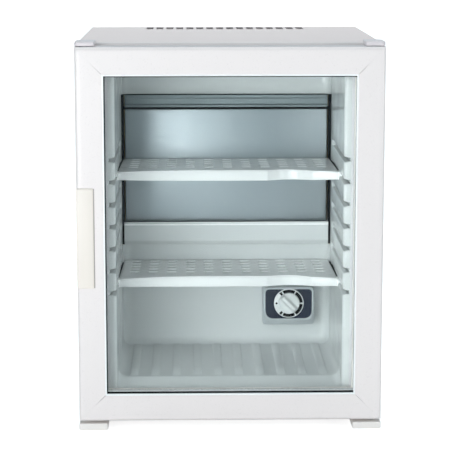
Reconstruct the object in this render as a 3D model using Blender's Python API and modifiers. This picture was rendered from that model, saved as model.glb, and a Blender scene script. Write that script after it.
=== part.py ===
"""Glass door minibar fridge: a small absorption refrigerator with a framed glass door.

Metres, +Z up. The door faces -Y and hinges on its right, and the origin is the
middle of the footprint, on the floor.
"""

import math

import bmesh
import bpy
from mathutils import Matrix, Vector

# Clearances
FIT = 0.0003
RUN = 0.0003

# Cabinet
CABINET_WIDTH = 0.402
CABINET_DEPTH = 0.374
CABINET_HEIGHT = 0.4987
CABINET_LIFT = 0.0140
CHIMNEY_DEPTH = 0.090
SHEET = 0.001
SHEET_BEND = 0.003
FRONT_RETURN = 0.012
REAR_RETURN = 0.015

# Vent slots in the top, over the chimney
VENT_COUNT = 16
VENT_PITCH = 0.015
VENT_WIDTH = 0.0105
VENT_LENGTH = 0.050
VENT_INSET = 0.012

# Door
DOOR_DROP = 0.0017
DOOR_THICKNESS = 0.038
GASKET_SPACE = 0.008
PROFILE_WIDTH = 0.037
PROFILE_BEVEL = 0.0025
PROFILE_ROUND = 0.003
PROFILE_HEEL = 0.024
PROFILE_LIP = 0.0037
GLASS = 0.0037
PANE_GAP = 0.012
SPACER_WIDTH = 0.0085
SPACER_SHOW = 0.001
BEAD_REACH = 0.0005
GASKET_INSET = 0.015
GASKET_WIDTH = 0.014

# Handle, on the left stile
HANDLE_WIDTH = 0.0224
HANDLE_HEIGHT = 0.133
HANDLE_DROP = 0.001
HANDLE_DEPTH = 0.026
HANDLE_PROUD = 0.002
HANDLE_WALL = 0.005

# Hinges
PIVOT_INSET = 0.011
PIVOT_DEPTH = 0.020
PIN_RADIUS = 0.003
PIN_ENGAGEMENT = 0.008
PIN_HEAD_RADIUS = 0.005
PIN_HEAD = 0.0012
BUSH_WALL = 0.002
BUSH_LENGTH = 0.0095
BRACKET = 0.0014
BRACKET_WIDTH = 0.018
BRACKET_BACK = 0.0065
CAP_WIDTH = 0.0255
CAP_FRONT = 0.010
CAP_BACK = 0.055
CAP_HEIGHT = 0.0043
CAP_WALL = 0.001

# Feet
FOOT_WIDTH = 0.041
FOOT_FRONT = 0.006
FOOT_LENGTH = 0.095
FOOT_CLEARANCE = 0.0028
FOOT_CHAMFER = 0.004
FOOT_PROUD = 0.0015
FOOT_FLANGE = 0.0012
FOOT_FLANGE_RISE = 0.016
FOOT_FLANGE_LENGTH = 0.040
REAR_FOOT_RADIUS = 0.014
REAR_FOOT_INSET = 0.036

# Liner
LINER_WALL = 0.0015
SIDE_WALL = 0.0477
BACK_WALL = 0.058
FLOOR_WALL = 0.039
ROOF_WALL = 0.0383
LINER_CORNER = 0.014
LINER_FLANGE = 0.042
SILL_DROP = 0.011
SILL_LENGTH = 0.034
RIB_COUNT = 10
RIB_MARGIN = 0.0083
RIB_WIDTH = 0.010
RIB_HEIGHT = 0.001
RIB_START = 0.040
RIB_END = 0.006

# Shelf grooves
GROOVE_COUNT = 7
GROOVE_PITCH = 0.030
GROOVE_RISE = 0.1256
GROOVE_HEIGHT = 0.008
GROOVE_DEPTH = 0.0081
GROOVE_SETBACK = 0.0462

# Shelves
SHELF_GROOVES = {"lower_shelf": 0, "upper_shelf": 5}
SHELF_SIDE_GAP = 0.0013
SHELF_BACK_GAP = 0.002
SHELF_DEPTH = 0.125
SHELF_PLATE = 0.0025
SHELF_RAIL = 0.006
SHELF_TONGUE = 0.0067
SHELF_TONGUE_LENGTH = 0.084
SHELF_TONGUE_SETBACK = 0.046
SHELF_RISE = 0.0031
SHELF_RIM = 0.002
SHELF_BEAD = 0.0006
SHELF_FASCIA = 0.0145
SHELF_FASCIA_WALL = 0.0022
SHELF_SWEEP = 0.018
SHELF_SCOOP = 0.009
SHELF_SCOOP_CENTRE = 0.086
SHELF_SCOOP_HALF = 0.031
SLOT_COLUMNS = 11
SLOT_ROWS = 5
SLOT_MARGIN = 0.00625
SLOT_ROW_PITCH = 0.019
SLOT_LENGTH = 0.013
SLOT_WIDTH = 0.007
SLOT_FIRST_ROW = 0.016

# Evaporator
PLATE_SIDE_GAP = 0.0048
PLATE_DROP = 0.0511
PLATE_THICKNESS = 0.004
STRIP_HEIGHT = 0.019
STRIP_GAP = 0.0003
RECESS_MARGIN = 0.0015
RECESS_SIDE_MARGIN = 0.0045
RECESS_CLEARANCE = 0.001
PLATE_SETBACK = 0.002
EVAPORATOR_RADIUS = 0.006
EVAPORATOR_DROP = 0.0076
HAIRPIN_DROP = 0.040
PIPE_STANDOFF = 0.009
HAIRPIN_INSET = 0.015
HAIRPIN_SHORTER = 0.030
SADDLE_HEIGHT = 0.020
SADDLE_HALF_WIDTH = 0.085
SADDLE_SINK = 0.001

# Drip gutter and drain
GUTTER_SIDE_GAP = 0.0043
GUTTER_RISE = 0.0254
GUTTER_DROP = 0.032
GUTTER_HEIGHT = 0.030
GUTTER_REACH = 0.0203
GUTTER_WALL = 0.0015
DRAIN_OFFSET = 0.042
DRAIN_RADIUS = 0.0045
DRAIN_WALL = 0.0012
DRAIN_SETBACK = 0.012
DRAIN_DROP = 0.006
DRAIN_RISE = 0.0079

# Thermostat
THERMOSTAT_INSET = 0.0625
THERMOSTAT_RISE = 0.034
THERMOSTAT_WIDTH = 0.0755
THERMOSTAT_HEIGHT = 0.0577
THERMOSTAT_DEPTH = 0.032
THERMOSTAT_RIM = 0.0035
THERMOSTAT_LIP = 0.010
THERMOSTAT_POCKET = 0.003
FACE_THICKNESS = 0.002
DIAL_RISE = 0.0337
DIAL_RADIUS = 0.0217
DIAL_FLANGE = 0.0025
KNOB_RADIUS = 0.0155
KNOB_LENGTH = 0.009
GRIP_WIDTH = 0.007
GRIP_RISE = 0.003
GRIP_ANGLE = 45.0
SHAFT_RADIUS = 0.003
SHAFT_LENGTH = 0.016

# Cooling unit, in the chimney
UNIT_SETBACK = 0.044
BOILER_INSET = 0.086
BOILER_RADIUS = 0.010
BOILER_BOTTOM = 0.110
BOILER_STUB = 0.007
JACKET_WIDTH = 0.060
JACKET_BOTTOM = 0.130
JACKET_SHORTER = 0.050
JACKET_ROUND = 0.012
JACKET_WALL = 0.0015
HEATER_RADIUS = 0.0065
HEATER_LENGTH = 0.110
HEATER_SHOW = 0.012
CONDENSER_RADIUS = 0.008
CONDENSER_DROP = 0.0577
CONDENSER_BEND = 0.018
CONDENSER_STUB = 0.030
FIN_COUNT = 14
FIN_PITCH = 0.011
FIN_SIZE = 0.036
FIN_THICKNESS = 0.0008
FIN_INSET = 0.020
COIL_TURNS = 5
COIL_DROP = 0.0514
COIL_RISE = 0.043
COIL_EXIT = 0.030
COIL_RADIUS = 0.0075
COIL_BEND = 0.020
COIL_INSET = 0.015
COIL_BOILER_GAP = 0.095
COIL_STEPS = 24
TAIL_INSET = 0.020
VESSEL_INSET = 0.051
EXCHANGER_RUN = 0.043
VESSEL_RADIUS = 0.024
VESSEL_HEIGHT = 0.085
EXCHANGER_RADIUS = 0.008
PIPE_BEND = 0.014
TAIL_LENGTH = 0.012
STRAP = 0.0015
STRAP_WIDTH = 0.030
SADDLE_WIDTH = 0.020
SADDLE_INSET = 0.050
TERMINAL_INSET = 0.036
TERMINAL_BOTTOM = 0.040
TERMINAL_SIZE = (0.050, 0.045, 0.055)
GLAND_RADIUS = 0.008
GLAND_LENGTH = 0.012
GLAND_BORE = 0.0032

# Places worked out from the sizes above
TOTAL_DEPTH = HANDLE_PROUD + DOOR_THICKNESS + GASKET_SPACE + CABINET_DEPTH
DOOR_FRONT = -TOTAL_DEPTH / 2 + HANDLE_PROUD
DOOR_BACK = DOOR_FRONT + DOOR_THICKNESS
CABINET_FRONT = DOOR_BACK + GASKET_SPACE
CABINET_BACK = CABINET_FRONT + CABINET_DEPTH
BACK_SHEET = CABINET_BACK - CHIMNEY_DEPTH
CABINET_TOP = CABINET_LIFT + CABINET_HEIGHT
SIDE = CABINET_WIDTH / 2
DOOR_HEIGHT = CABINET_HEIGHT - DOOR_DROP
DOOR_BOTTOM = CABINET_LIFT
DOOR_TOP = DOOR_BOTTOM + DOOR_HEIGHT
DOOR_MIDDLE = DOOR_BOTTOM + DOOR_HEIGHT / 2
HANDLE_CENTRE = DOOR_MIDDLE - HANDLE_DROP
FOOT_TOE = CABINET_LIFT - FOOT_CLEARANCE
FOOT_FLANGE_TOP = CABINET_LIFT + FOOT_FLANGE_RISE
SKIN_FRONT = CABINET_FRONT + SHEET + FIT
LINER_BACK = BACK_SHEET - BACK_WALL
LINER_HALF_WIDTH = SIDE - SIDE_WALL
LINER_FLOOR = CABINET_LIFT + FLOOR_WALL
LINER_CEILING = CABINET_TOP - ROOF_WALL
GROOVE_FIRST = LINER_FLOOR + GROOVE_RISE
GROOVE_OUT = LINER_HALF_WIDTH + GROOVE_DEPTH
GROOVE_BACK = LINER_BACK - GROOVE_SETBACK
SILL_HEIGHT = LINER_FLOOR - SILL_DROP
RIB_PITCH = 2 * (LINER_HALF_WIDTH - RIB_MARGIN) / RIB_COUNT
SHELF_HALF_WIDTH = LINER_HALF_WIDTH - SHELF_SIDE_GAP
SLOT_COLUMN_PITCH = 2 * (SHELF_HALF_WIDTH - SLOT_MARGIN) / SLOT_COLUMNS
PIVOT = Vector((SIDE - PIVOT_INSET, DOOR_FRONT + PIVOT_DEPTH, 0))
PANE_FRONT = DOOR_FRONT + PROFILE_LIP + FIT
SPACER_FRONT = PANE_FRONT + GLASS + FIT
INNER_PANE = SPACER_FRONT + PANE_GAP + FIT
BEAD_FRONT = INNER_PANE + GLASS + FIT

# The gutter is set out from the grooves, and the cold plate reaches from there up to its strip
PLATE_FRONT = LINER_BACK + PLATE_SETBACK
PLATE_BACK = PLATE_FRONT + PLATE_THICKNESS
PLATE_HALF_WIDTH = LINER_HALF_WIDTH - PLATE_SIDE_GAP
RECESS_TOP = LINER_CEILING - PLATE_DROP
STRIP_BOTTOM = RECESS_TOP - STRIP_HEIGHT
PLATE_TOP = STRIP_BOTTOM - STRIP_GAP
GUTTER_BOTTOM = GROOVE_FIRST + GUTTER_RISE
PLATE_BOTTOM = GUTTER_BOTTOM + GUTTER_DROP
EVAPORATOR_Y = PLATE_BACK + PIPE_STANDOFF + EVAPORATOR_RADIUS
EVAPORATOR_HIGH = PLATE_TOP - EVAPORATOR_DROP
EVAPORATOR_LOW = EVAPORATOR_HIGH - HAIRPIN_DROP
HAIRPIN_LEFT = -PLATE_HALF_WIDTH + HAIRPIN_INSET
HAIRPIN_RIGHT = PLATE_HALF_WIDTH - HAIRPIN_SHORTER
RECESS_BACK = EVAPORATOR_Y + PIPE_BEND + RECESS_CLEARANCE
GUTTER_BACK = PLATE_BACK + GUTTER_WALL + FIT
GUTTER_HALF_WIDTH = LINER_HALF_WIDTH - GUTTER_SIDE_GAP
DRAIN_HEIGHT = GUTTER_BOTTOM + DRAIN_RISE

# The thermostat stands off the right wall and the floor
THERMOSTAT_X = LINER_HALF_WIDTH - THERMOSTAT_INSET
THERMOSTAT_BOTTOM = LINER_FLOOR + THERMOSTAT_RISE
THERMOSTAT_FRONT = LINER_BACK - FIT - THERMOSTAT_DEPTH
FACE_FRONT = THERMOSTAT_FRONT + THERMOSTAT_POCKET - FIT - FACE_THICKNESS
DIAL_CENTRE = Vector((THERMOSTAT_X, 0, THERMOSTAT_BOTTOM + DIAL_RISE))
DIAL_BACK = THERMOSTAT_FRONT - RUN

# The cooling unit fills the chimney from side to side and from the top down
UNIT_Y = BACK_SHEET + UNIT_SETBACK
RETURN_FACE = CABINET_BACK - SHEET
STRAP_BACK = RETURN_FACE - FIT
STRAP_FRONT = STRAP_BACK - STRAP
BOILER_X = SIDE - BOILER_INSET
TERMINAL_X = SIDE - TERMINAL_INSET
CONDENSER_HEIGHT = CABINET_TOP - CONDENSER_DROP
CONDENSER_END = HAIRPIN_LEFT + CONDENSER_STUB
FIN_FIRST = CONDENSER_END + FIN_INSET
BOILER_TOP = CONDENSER_HEIGHT - CONDENSER_BEND - BOILER_STUB
JACKET_TOP = BOILER_TOP - JACKET_SHORTER
TAIL_X = HAIRPIN_LEFT + TAIL_INSET
COIL_TOP = EVAPORATOR_LOW - COIL_DROP
COIL_LEFT = TAIL_X - COIL_INSET
COIL_RIGHT = BOILER_X - COIL_BOILER_GAP
DRAIN_X = COIL_RIGHT + DRAIN_OFFSET
TAIL_TOP = COIL_TOP + PIPE_BEND + TAIL_LENGTH
VESSEL_LEFT = -SIDE + VESSEL_INSET
VESSEL_RIGHT = BOILER_X - EXCHANGER_RUN
VESSEL_TOP = VESSEL_HEIGHT + VESSEL_RADIUS
COIL_FALL = COIL_TOP - VESSEL_TOP - COIL_RISE

MATERIALS = {
    "white_enamel": ((0.83, 0.81, 0.82), 0.35, 0.0),
    "white_coated_profile": ((0.85, 0.84, 0.85), 0.30, 0.0),
    "white_plastic": ((0.84, 0.84, 0.83), 0.40, 0.0),
    "ivory_plastic": ((0.86, 0.83, 0.78), 0.40, 0.0),
    "liner_plastic": ((0.62, 0.68, 0.69), 0.25, 0.0),
    "shelf_plastic": ((0.74, 0.79, 0.80), 0.30, 0.0),
    "foam": ((0.80, 0.72, 0.50), 0.95, 0.0),
    "glass": ((0.75, 0.86, 0.86), 0.05, 0.0),
    "dark_seal": ((0.03, 0.035, 0.04), 0.60, 0.0),
    "gasket": ((0.78, 0.79, 0.79), 0.70, 0.0),
    "evaporator_aluminium": ((0.56, 0.58, 0.60), 0.35, 1.0),
    "dark_face": ((0.07, 0.08, 0.11), 0.45, 0.0),
    "dial_plastic": ((0.58, 0.63, 0.64), 0.40, 0.0),
    "steel": ((0.50, 0.50, 0.52), 0.35, 1.0),
    "black_pipe": ((0.03, 0.03, 0.03), 0.50, 0.0),
    "galvanised": ((0.58, 0.60, 0.62), 0.45, 1.0),
    "black_plastic": ((0.04, 0.04, 0.045), 0.50, 0.0),
}

for old in list(bpy.data.objects):
    bpy.data.objects.remove(old, do_unlink=True)

parts = bpy.data.collections.new("glass_door_minibar")
cutters = bpy.data.collections.new("cutters")
bpy.context.scene.collection.children.link(parts)
bpy.context.scene.collection.children.link(cutters)


def material(name):
    """A Principled material with the part's colour, roughness and metal."""
    made = bpy.data.materials.get(name)
    if made:
        return made
    made = bpy.data.materials.new(name)
    made.use_nodes = True
    colour, roughness, metallic = MATERIALS[name]
    shader = made.node_tree.nodes["Principled BSDF"]
    shader.inputs["Base Color"].default_value = (*colour, 1)
    shader.inputs["Roughness"].default_value = roughness
    shader.inputs["Metallic"].default_value = metallic
    made.diffuse_color = (*colour, 1)
    return made


def place(name, mesh, finish, matrix=None):
    """Puts a mesh in the part, or among the cutters if it has no finish."""
    thing = bpy.data.objects.new(name, mesh)
    (parts if finish else cutters).objects.link(thing)
    if matrix:
        thing.matrix_world = matrix
    if finish:
        mesh.materials.append(material(finish))
    else:
        thing.hide_render = True
        thing.display_type = "WIRE"
    return thing


def mesh_of(maker, name):
    """A mesh filled by a function that works on a BMesh."""
    mesh = bpy.data.meshes.new(name)
    work = bmesh.new()
    maker(work)
    bmesh.ops.recalc_face_normals(work, faces=work.faces)
    work.to_mesh(mesh)
    work.free()
    return mesh


def add_box(work, low, high):
    low, high = Vector(low), Vector(high)
    matrix = Matrix.Translation((low + high) / 2) @ Matrix.Diagonal((*(high - low), 1))
    bmesh.ops.create_cube(work, size=1, matrix=matrix)


def boxes(name, spans, finish=None):
    """One object from several boxes, each given by its two corners."""

    def fill(work):
        for low, high in spans:
            add_box(work, low, high)

    return place(name, mesh_of(fill, name), finish)


def box(name, low, high, finish=None, bevel=0.0, segments=2):
    """A box from corner to corner, its edges rounded by a bevel."""
    low, high = Vector(low), Vector(high)
    size = high - low

    def fill(work):
        bmesh.ops.create_cube(work, size=1, matrix=Matrix.Diagonal((*size, 1)))

    centre = Matrix.Translation((low + high) / 2)
    made = place(name, mesh_of(fill, name), finish, centre)
    if bevel:
        soften(made, bevel, segments)
    return made


def soften(thing, width, segments=2, angle=40):
    bevel = thing.modifiers.new("rounded_edges", "BEVEL")
    bevel.width = width
    bevel.segments = segments
    bevel.limit_method = "ANGLE"
    bevel.angle_limit = math.radians(angle)
    return thing


AXES = {
    "Z": Matrix.Identity(4),
    "X": Matrix(((0, 0, 1, 0), (1, 0, 0, 0), (0, 1, 0, 0), (0, 0, 0, 1))),
    "Y": Matrix(((1, 0, 0, 0), (0, 0, -1, 0), (0, 1, 0, 0), (0, 0, 0, 1))),
}


def along(axis, middle):
    """The matrix of a flat outline whose thickness runs along one axis."""
    shift = {"X": (middle, 0, 0), "Y": (0, middle, 0), "Z": (0, 0, middle)}[axis]
    return Matrix.Translation(shift) @ AXES[axis]


def solid_of(curve_object, name, finish):
    """The mesh of a curve object, its caps welded, in the curve's own place."""
    bpy.context.view_layer.update()
    evaluated = curve_object.evaluated_get(bpy.context.evaluated_depsgraph_get())
    mesh = bpy.data.meshes.new_from_object(evaluated)
    work = bmesh.new()
    work.from_mesh(mesh)
    bmesh.ops.remove_doubles(work, verts=work.verts, dist=1e-6)
    bmesh.ops.recalc_face_normals(work, faces=work.faces)
    work.to_mesh(mesh)
    work.free()
    matrix = curve_object.matrix_world.copy()
    curve = curve_object.data
    bpy.data.objects.remove(curve_object)
    bpy.data.curves.remove(curve)
    mesh.materials.clear()
    mesh.name = name
    return place(name, mesh, finish, matrix)


def prism(name, outline, axis, start, end, finish=None):
    """A flat outline with a thickness: (x, y) along Z, (y, z) along X or (x, z) along Y."""
    curve = bpy.data.curves.new(name, "CURVE")
    curve.dimensions = "2D"
    curve.fill_mode = "BOTH"
    curve.extrude = abs(end - start) / 2
    line = curve.splines.new("POLY")
    line.points.add(len(outline) - 1)
    for point, (u, v) in zip(line.points, outline):
        point.co = (u, v, 0, 1)
    line.use_cyclic_u = True
    guide = bpy.data.objects.new(name + "_outline", curve)
    cutters.objects.link(guide)
    guide.matrix_world = along(axis, (start + end) / 2)
    return solid_of(guide, name, finish)


def tube(name, path, radius, finish=None, sides=2):
    """A round pipe or rod with closed ends along a list of points."""
    curve = bpy.data.curves.new(name, "CURVE")
    curve.dimensions = "3D"
    curve.bevel_depth = radius
    curve.bevel_resolution = sides
    curve.use_fill_caps = True
    line = curve.splines.new("POLY")
    line.points.add(len(path) - 1)
    for point, place_at in zip(line.points, path):
        point.co = (*place_at, 1)
    guide = bpy.data.objects.new(name + "_path", curve)
    cutters.objects.link(guide)
    made = solid_of(guide, name, finish)
    made.data.shade_smooth()
    return made


def turned(name, profile, centre, finish=None, axis="Z", steps=24):
    """A profile of (radius, height) turned round an axis through centre."""

    def fill(work):
        made = [work.verts.new((r, 0, h)) for r, h in profile]
        for first, second in zip(made, made[1:]):
            work.edges.new((first, second))

    mesh = bpy.data.meshes.new(name)
    work = bmesh.new()
    fill(work)
    work.to_mesh(mesh)
    work.free()
    made = place(name, mesh, finish, Matrix.Translation(centre) @ AXES[axis])
    screw = made.modifiers.new("turn", "SCREW")
    screw.steps = screw.render_steps = steps
    screw.use_merge_vertices = True
    screw.merge_threshold = 1e-5
    screw.use_smooth_shade = True
    return made


def rod(name, radius, start, end, centre, finish=None, axis="Z", steps=24, chamfer=0.0):
    """A turned cylinder from start to end along its axis, top edge first."""
    profile = [(0, end), (radius - chamfer, end), (radius, end - chamfer)]
    profile += [(radius, start + chamfer), (radius - chamfer, start), (0, start)]
    if not chamfer:
        profile = [(0, end), (radius, end), (radius, start), (0, start)]
    return turned(name, profile, centre, finish, axis, steps)


def combine(target, tools, operation):
    for tool in tools:
        modifier = target.modifiers.new(f"{operation.lower()}_{tool.name}", "BOOLEAN")
        modifier.operation = operation
        modifier.object = tool
    return target


def cut(target, *tools):
    return combine(target, tools, "DIFFERENCE")


def join(target, *tools):
    return combine(target, tools, "UNION")


def arc(centre, radius, start, end, steps):
    """Points on an arc, its angles in degrees, both ends included."""
    turn = [math.radians(start + (end - start) * i / steps) for i in range(steps + 1)]
    return [(centre[0] + radius * math.cos(a), centre[1] + radius * math.sin(a)) for a in turn]


def rounded(corners, radii, steps=4):
    """A flat outline whose corners are rounded, each by its own radius."""
    outline = []
    for i, corner in enumerate(corners):
        here = Vector(corner)
        before = (Vector(corners[i - 1]) - here).normalized()
        after = (Vector(corners[(i + 1) % len(corners)]) - here).normalized()
        if not radii[i]:
            outline.append(tuple(here))
            continue
        half = before.angle(after) / 2
        reach = radii[i] / math.tan(half)
        first, last = here + before * reach, here + after * reach
        centre = here + (before + after).normalized() * radii[i] / math.sin(half)
        spokes = (first - centre).normalized(), (last - centre).normalized()
        for step in range(steps + 1):
            spoke = spokes[0].slerp(spokes[1], step / steps)
            outline.append(tuple(centre + spoke * radii[i]))
    return outline


def bent(points, radius, steps=4):
    """A pipe's route: straight runs between points, joined by round bends."""
    points = [Vector(p) for p in points]
    route = [points[0]]
    for before, here, after in zip(points, points[1:], points[2:]):
        back = (before - here).normalized()
        on = (after - here).normalized()
        half = back.angle(on) / 2
        reach = radius / math.tan(half)
        centre = here + (back + on).normalized() * radius / math.sin(half)
        first, last = here + back * reach, here + on * reach
        spokes = (first - centre).normalized(), (last - centre).normalized()
        for step in range(steps + 1):
            route.append(centre + spokes[0].slerp(spokes[1], step / steps) * radius)
    route.append(points[-1])
    return route


def sheet_outline(path, thickness):
    """The closed outline of folded sheet metal: a path and its copy to the left."""
    points = [Vector(p) for p in path]
    inner = []
    for i, here in enumerate(points):
        before = (here - points[i - 1]).normalized() if i else None
        after = (points[i + 1] - here).normalized() if i + 1 < len(points) else None
        normals = [Vector((-d.y, d.x)) for d in (before, after) if d]
        mean = sum(normals, Vector((0, 0))).normalized()
        inner.append(here + mean * thickness / mean.dot(normals[0]))
    return [tuple(p) for p in points] + [tuple(p) for p in reversed(inner)]


def ring(name, outline, inset, finish):
    """A profile of (inset from the door's edge, y) carried round the door, mitred."""

    def fill(work):
        loops = []
        for sx, sz in ((-1, -1), (1, -1), (1, 1), (-1, 1)):
            loop = []
            for u, y in outline:
                x = sx * (SIDE - inset - u)
                z = DOOR_MIDDLE + sz * (DOOR_HEIGHT / 2 - inset - u)
                loop.append(work.verts.new((x, y, z)))
            loops.append(loop)
        count = len(outline)
        for first, second in zip(loops, loops[1:] + loops[:1]):
            for i in range(count):
                j = (i + 1) % count
                work.faces.new((first[i], first[j], second[j], second[i]))

    return place(name, mesh_of(fill, name), finish)


def door_member(name, corner_a, corner_b, outward, finish):
    """One mitred side of the door frame, between two corners of the door."""
    u_bevel = PROFILE_WIDTH - PROFILE_BEVEL
    corners = [
        (0, 0),
        (u_bevel, 0),
        (PROFILE_WIDTH, PROFILE_BEVEL),
        (PROFILE_WIDTH, PROFILE_LIP),
        (PROFILE_HEEL, PROFILE_LIP),
        (PROFILE_HEEL, DOOR_THICKNESS),
        (0, DOOR_THICKNESS),
    ]
    radii = [PROFILE_ROUND, 0, 0, 0, 0, 0, PROFILE_ROUND / 2]
    outline = rounded(corners, radii)
    start, end = Vector(corner_a), Vector(corner_b)
    run = (end - start).normalized()
    inward = -Vector(outward)

    def fill(work):
        loops = []
        for at, sign in ((start, 1), (end, -1)):
            loop = []
            for u, v in outline:
                spot = at + inward * u + run * sign * (u + FIT)
                loop.append(work.verts.new((spot.x, DOOR_FRONT + v, spot.y)))
            loops.append(loop)
        first, second = loops
        for i in range(len(outline)):
            j = (i + 1) % len(outline)
            work.faces.new((first[i], first[j], second[j], second[i]))
        work.faces.new(first)
        work.faces.new(list(reversed(second)))

    return place(name, mesh_of(fill, name), finish)


def make_cabinet():
    """The painted steel case: two folded sides, a slotted top, a base and a back."""
    top_of_side = CABINET_TOP - SHEET - FIT
    for name, sign in (("left_side_panel", -1), ("right_side_panel", 1)):
        path = [(SIDE - FRONT_RETURN, CABINET_FRONT)]
        path += arc((SIDE - SHEET_BEND, CABINET_FRONT + SHEET_BEND), SHEET_BEND, -90, 0, 3)
        path += [(SIDE, CABINET_BACK), (SIDE - REAR_RETURN, CABINET_BACK)]
        outline = [(sign * x, y) for x, y in sheet_outline(path, SHEET)]
        panel = prism(name, outline, "Z", CABINET_LIFT, top_of_side, "white_enamel")
        notch = FRONT_RETURN + FIT
        spans = []
        for low, high in (
            (CABINET_LIFT - SHEET, CABINET_LIFT + notch),
            (CABINET_TOP - notch, CABINET_TOP),
        ):
            x_low, x_high = sorted((sign * 0.1, sign * (SIDE - SHEET - FIT)))
            y_high = CABINET_FRONT + SHEET_BEND
            spans.append(((x_low, CABINET_FRONT - SHEET, low), (x_high, y_high, high)))
        cut(panel, boxes(name + "_notches", spans))

    front = CABINET_FRONT
    inner = SIDE - SHEET - 2 * FIT
    path = [(front, CABINET_TOP - FRONT_RETURN)]
    path += [(y, z) for y, z in arc((front + SHEET_BEND, CABINET_TOP - SHEET_BEND), SHEET_BEND, 180, 90, 4)]
    path += [(CABINET_BACK - SHEET_BEND, CABINET_TOP), (CABINET_BACK, CABINET_TOP - SHEET_BEND)]
    outline = [(y, z) for y, z in sheet_outline(list(reversed(path)), SHEET)]
    top = prism("top_panel", outline, "X", -SIDE, SIDE, "white_enamel")
    lip_spans = []
    for sign in (-1, 1):
        x_low, x_high = sorted((sign * inner, sign * (SIDE + SHEET)))
        low = (x_low, front - SHEET, CABINET_TOP - FRONT_RETURN - SHEET)
        lip_spans.append((low, (x_high, front + 2 * SHEET_BEND, top_of_side + FIT)))
    back_span = CABINET_BACK - 2 * SHEET_BEND
    for sign in (-1, 1):
        x_low, x_high = sorted((sign * (SIDE - REAR_RETURN - FIT), sign * (SIDE + SHEET)))
        low = (x_low, back_span, CABINET_TOP - 2 * SHEET_BEND)
        lip_spans.append((low, (x_high, CABINET_BACK + SHEET, top_of_side + FIT)))
    vents = []
    for i in range(VENT_COUNT):
        x = (i - (VENT_COUNT - 1) / 2) * VENT_PITCH
        y_high = CABINET_BACK - VENT_INSET
        low = (x - VENT_WIDTH / 2, y_high - VENT_LENGTH, CABINET_TOP - 0.01)
        vents.append((low, (x + VENT_WIDTH / 2, y_high, CABINET_TOP + 0.01)))
    vent_cutter = boxes("vent_slots", vents)
    soften(vent_cutter, VENT_WIDTH * 0.28, 2)
    cut(top, boxes("top_panel_notches", lip_spans), vent_cutter)

    path = [
        (front, CABINET_LIFT + FRONT_RETURN),
        (front, CABINET_LIFT),
        (BACK_SHEET, CABINET_LIFT),
    ]
    outline = sheet_outline(path, SHEET)
    prism("base_panel", outline, "X", -inner, inner, "white_enamel")
    box(
        "back_sheet",
        (-inner, BACK_SHEET - SHEET, CABINET_LIFT + SHEET + FIT),
        (inner, BACK_SHEET, CABINET_TOP - SHEET - FIT),
        "galvanised",
    )


def wall_holes(name):
    """The rods that cut the ways through foam and back sheet for pipes and drain."""
    reach = BACK_SHEET + 0.01
    ways = [
        (HAIRPIN_LEFT, EVAPORATOR_HIGH, EVAPORATOR_RADIUS),
        (TAIL_X, EVAPORATOR_LOW, EVAPORATOR_RADIUS),
        (DRAIN_X, DRAIN_HEIGHT, DRAIN_RADIUS),
    ]
    tools = []
    for i, (x, z, radius) in enumerate(ways):
        path = [(x, LINER_BACK - 0.004, z), (x, reach, z)]
        tools.append(tube(f"{name}_{i}", path, radius + 2 * FIT, None, 2))
    return tools


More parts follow.
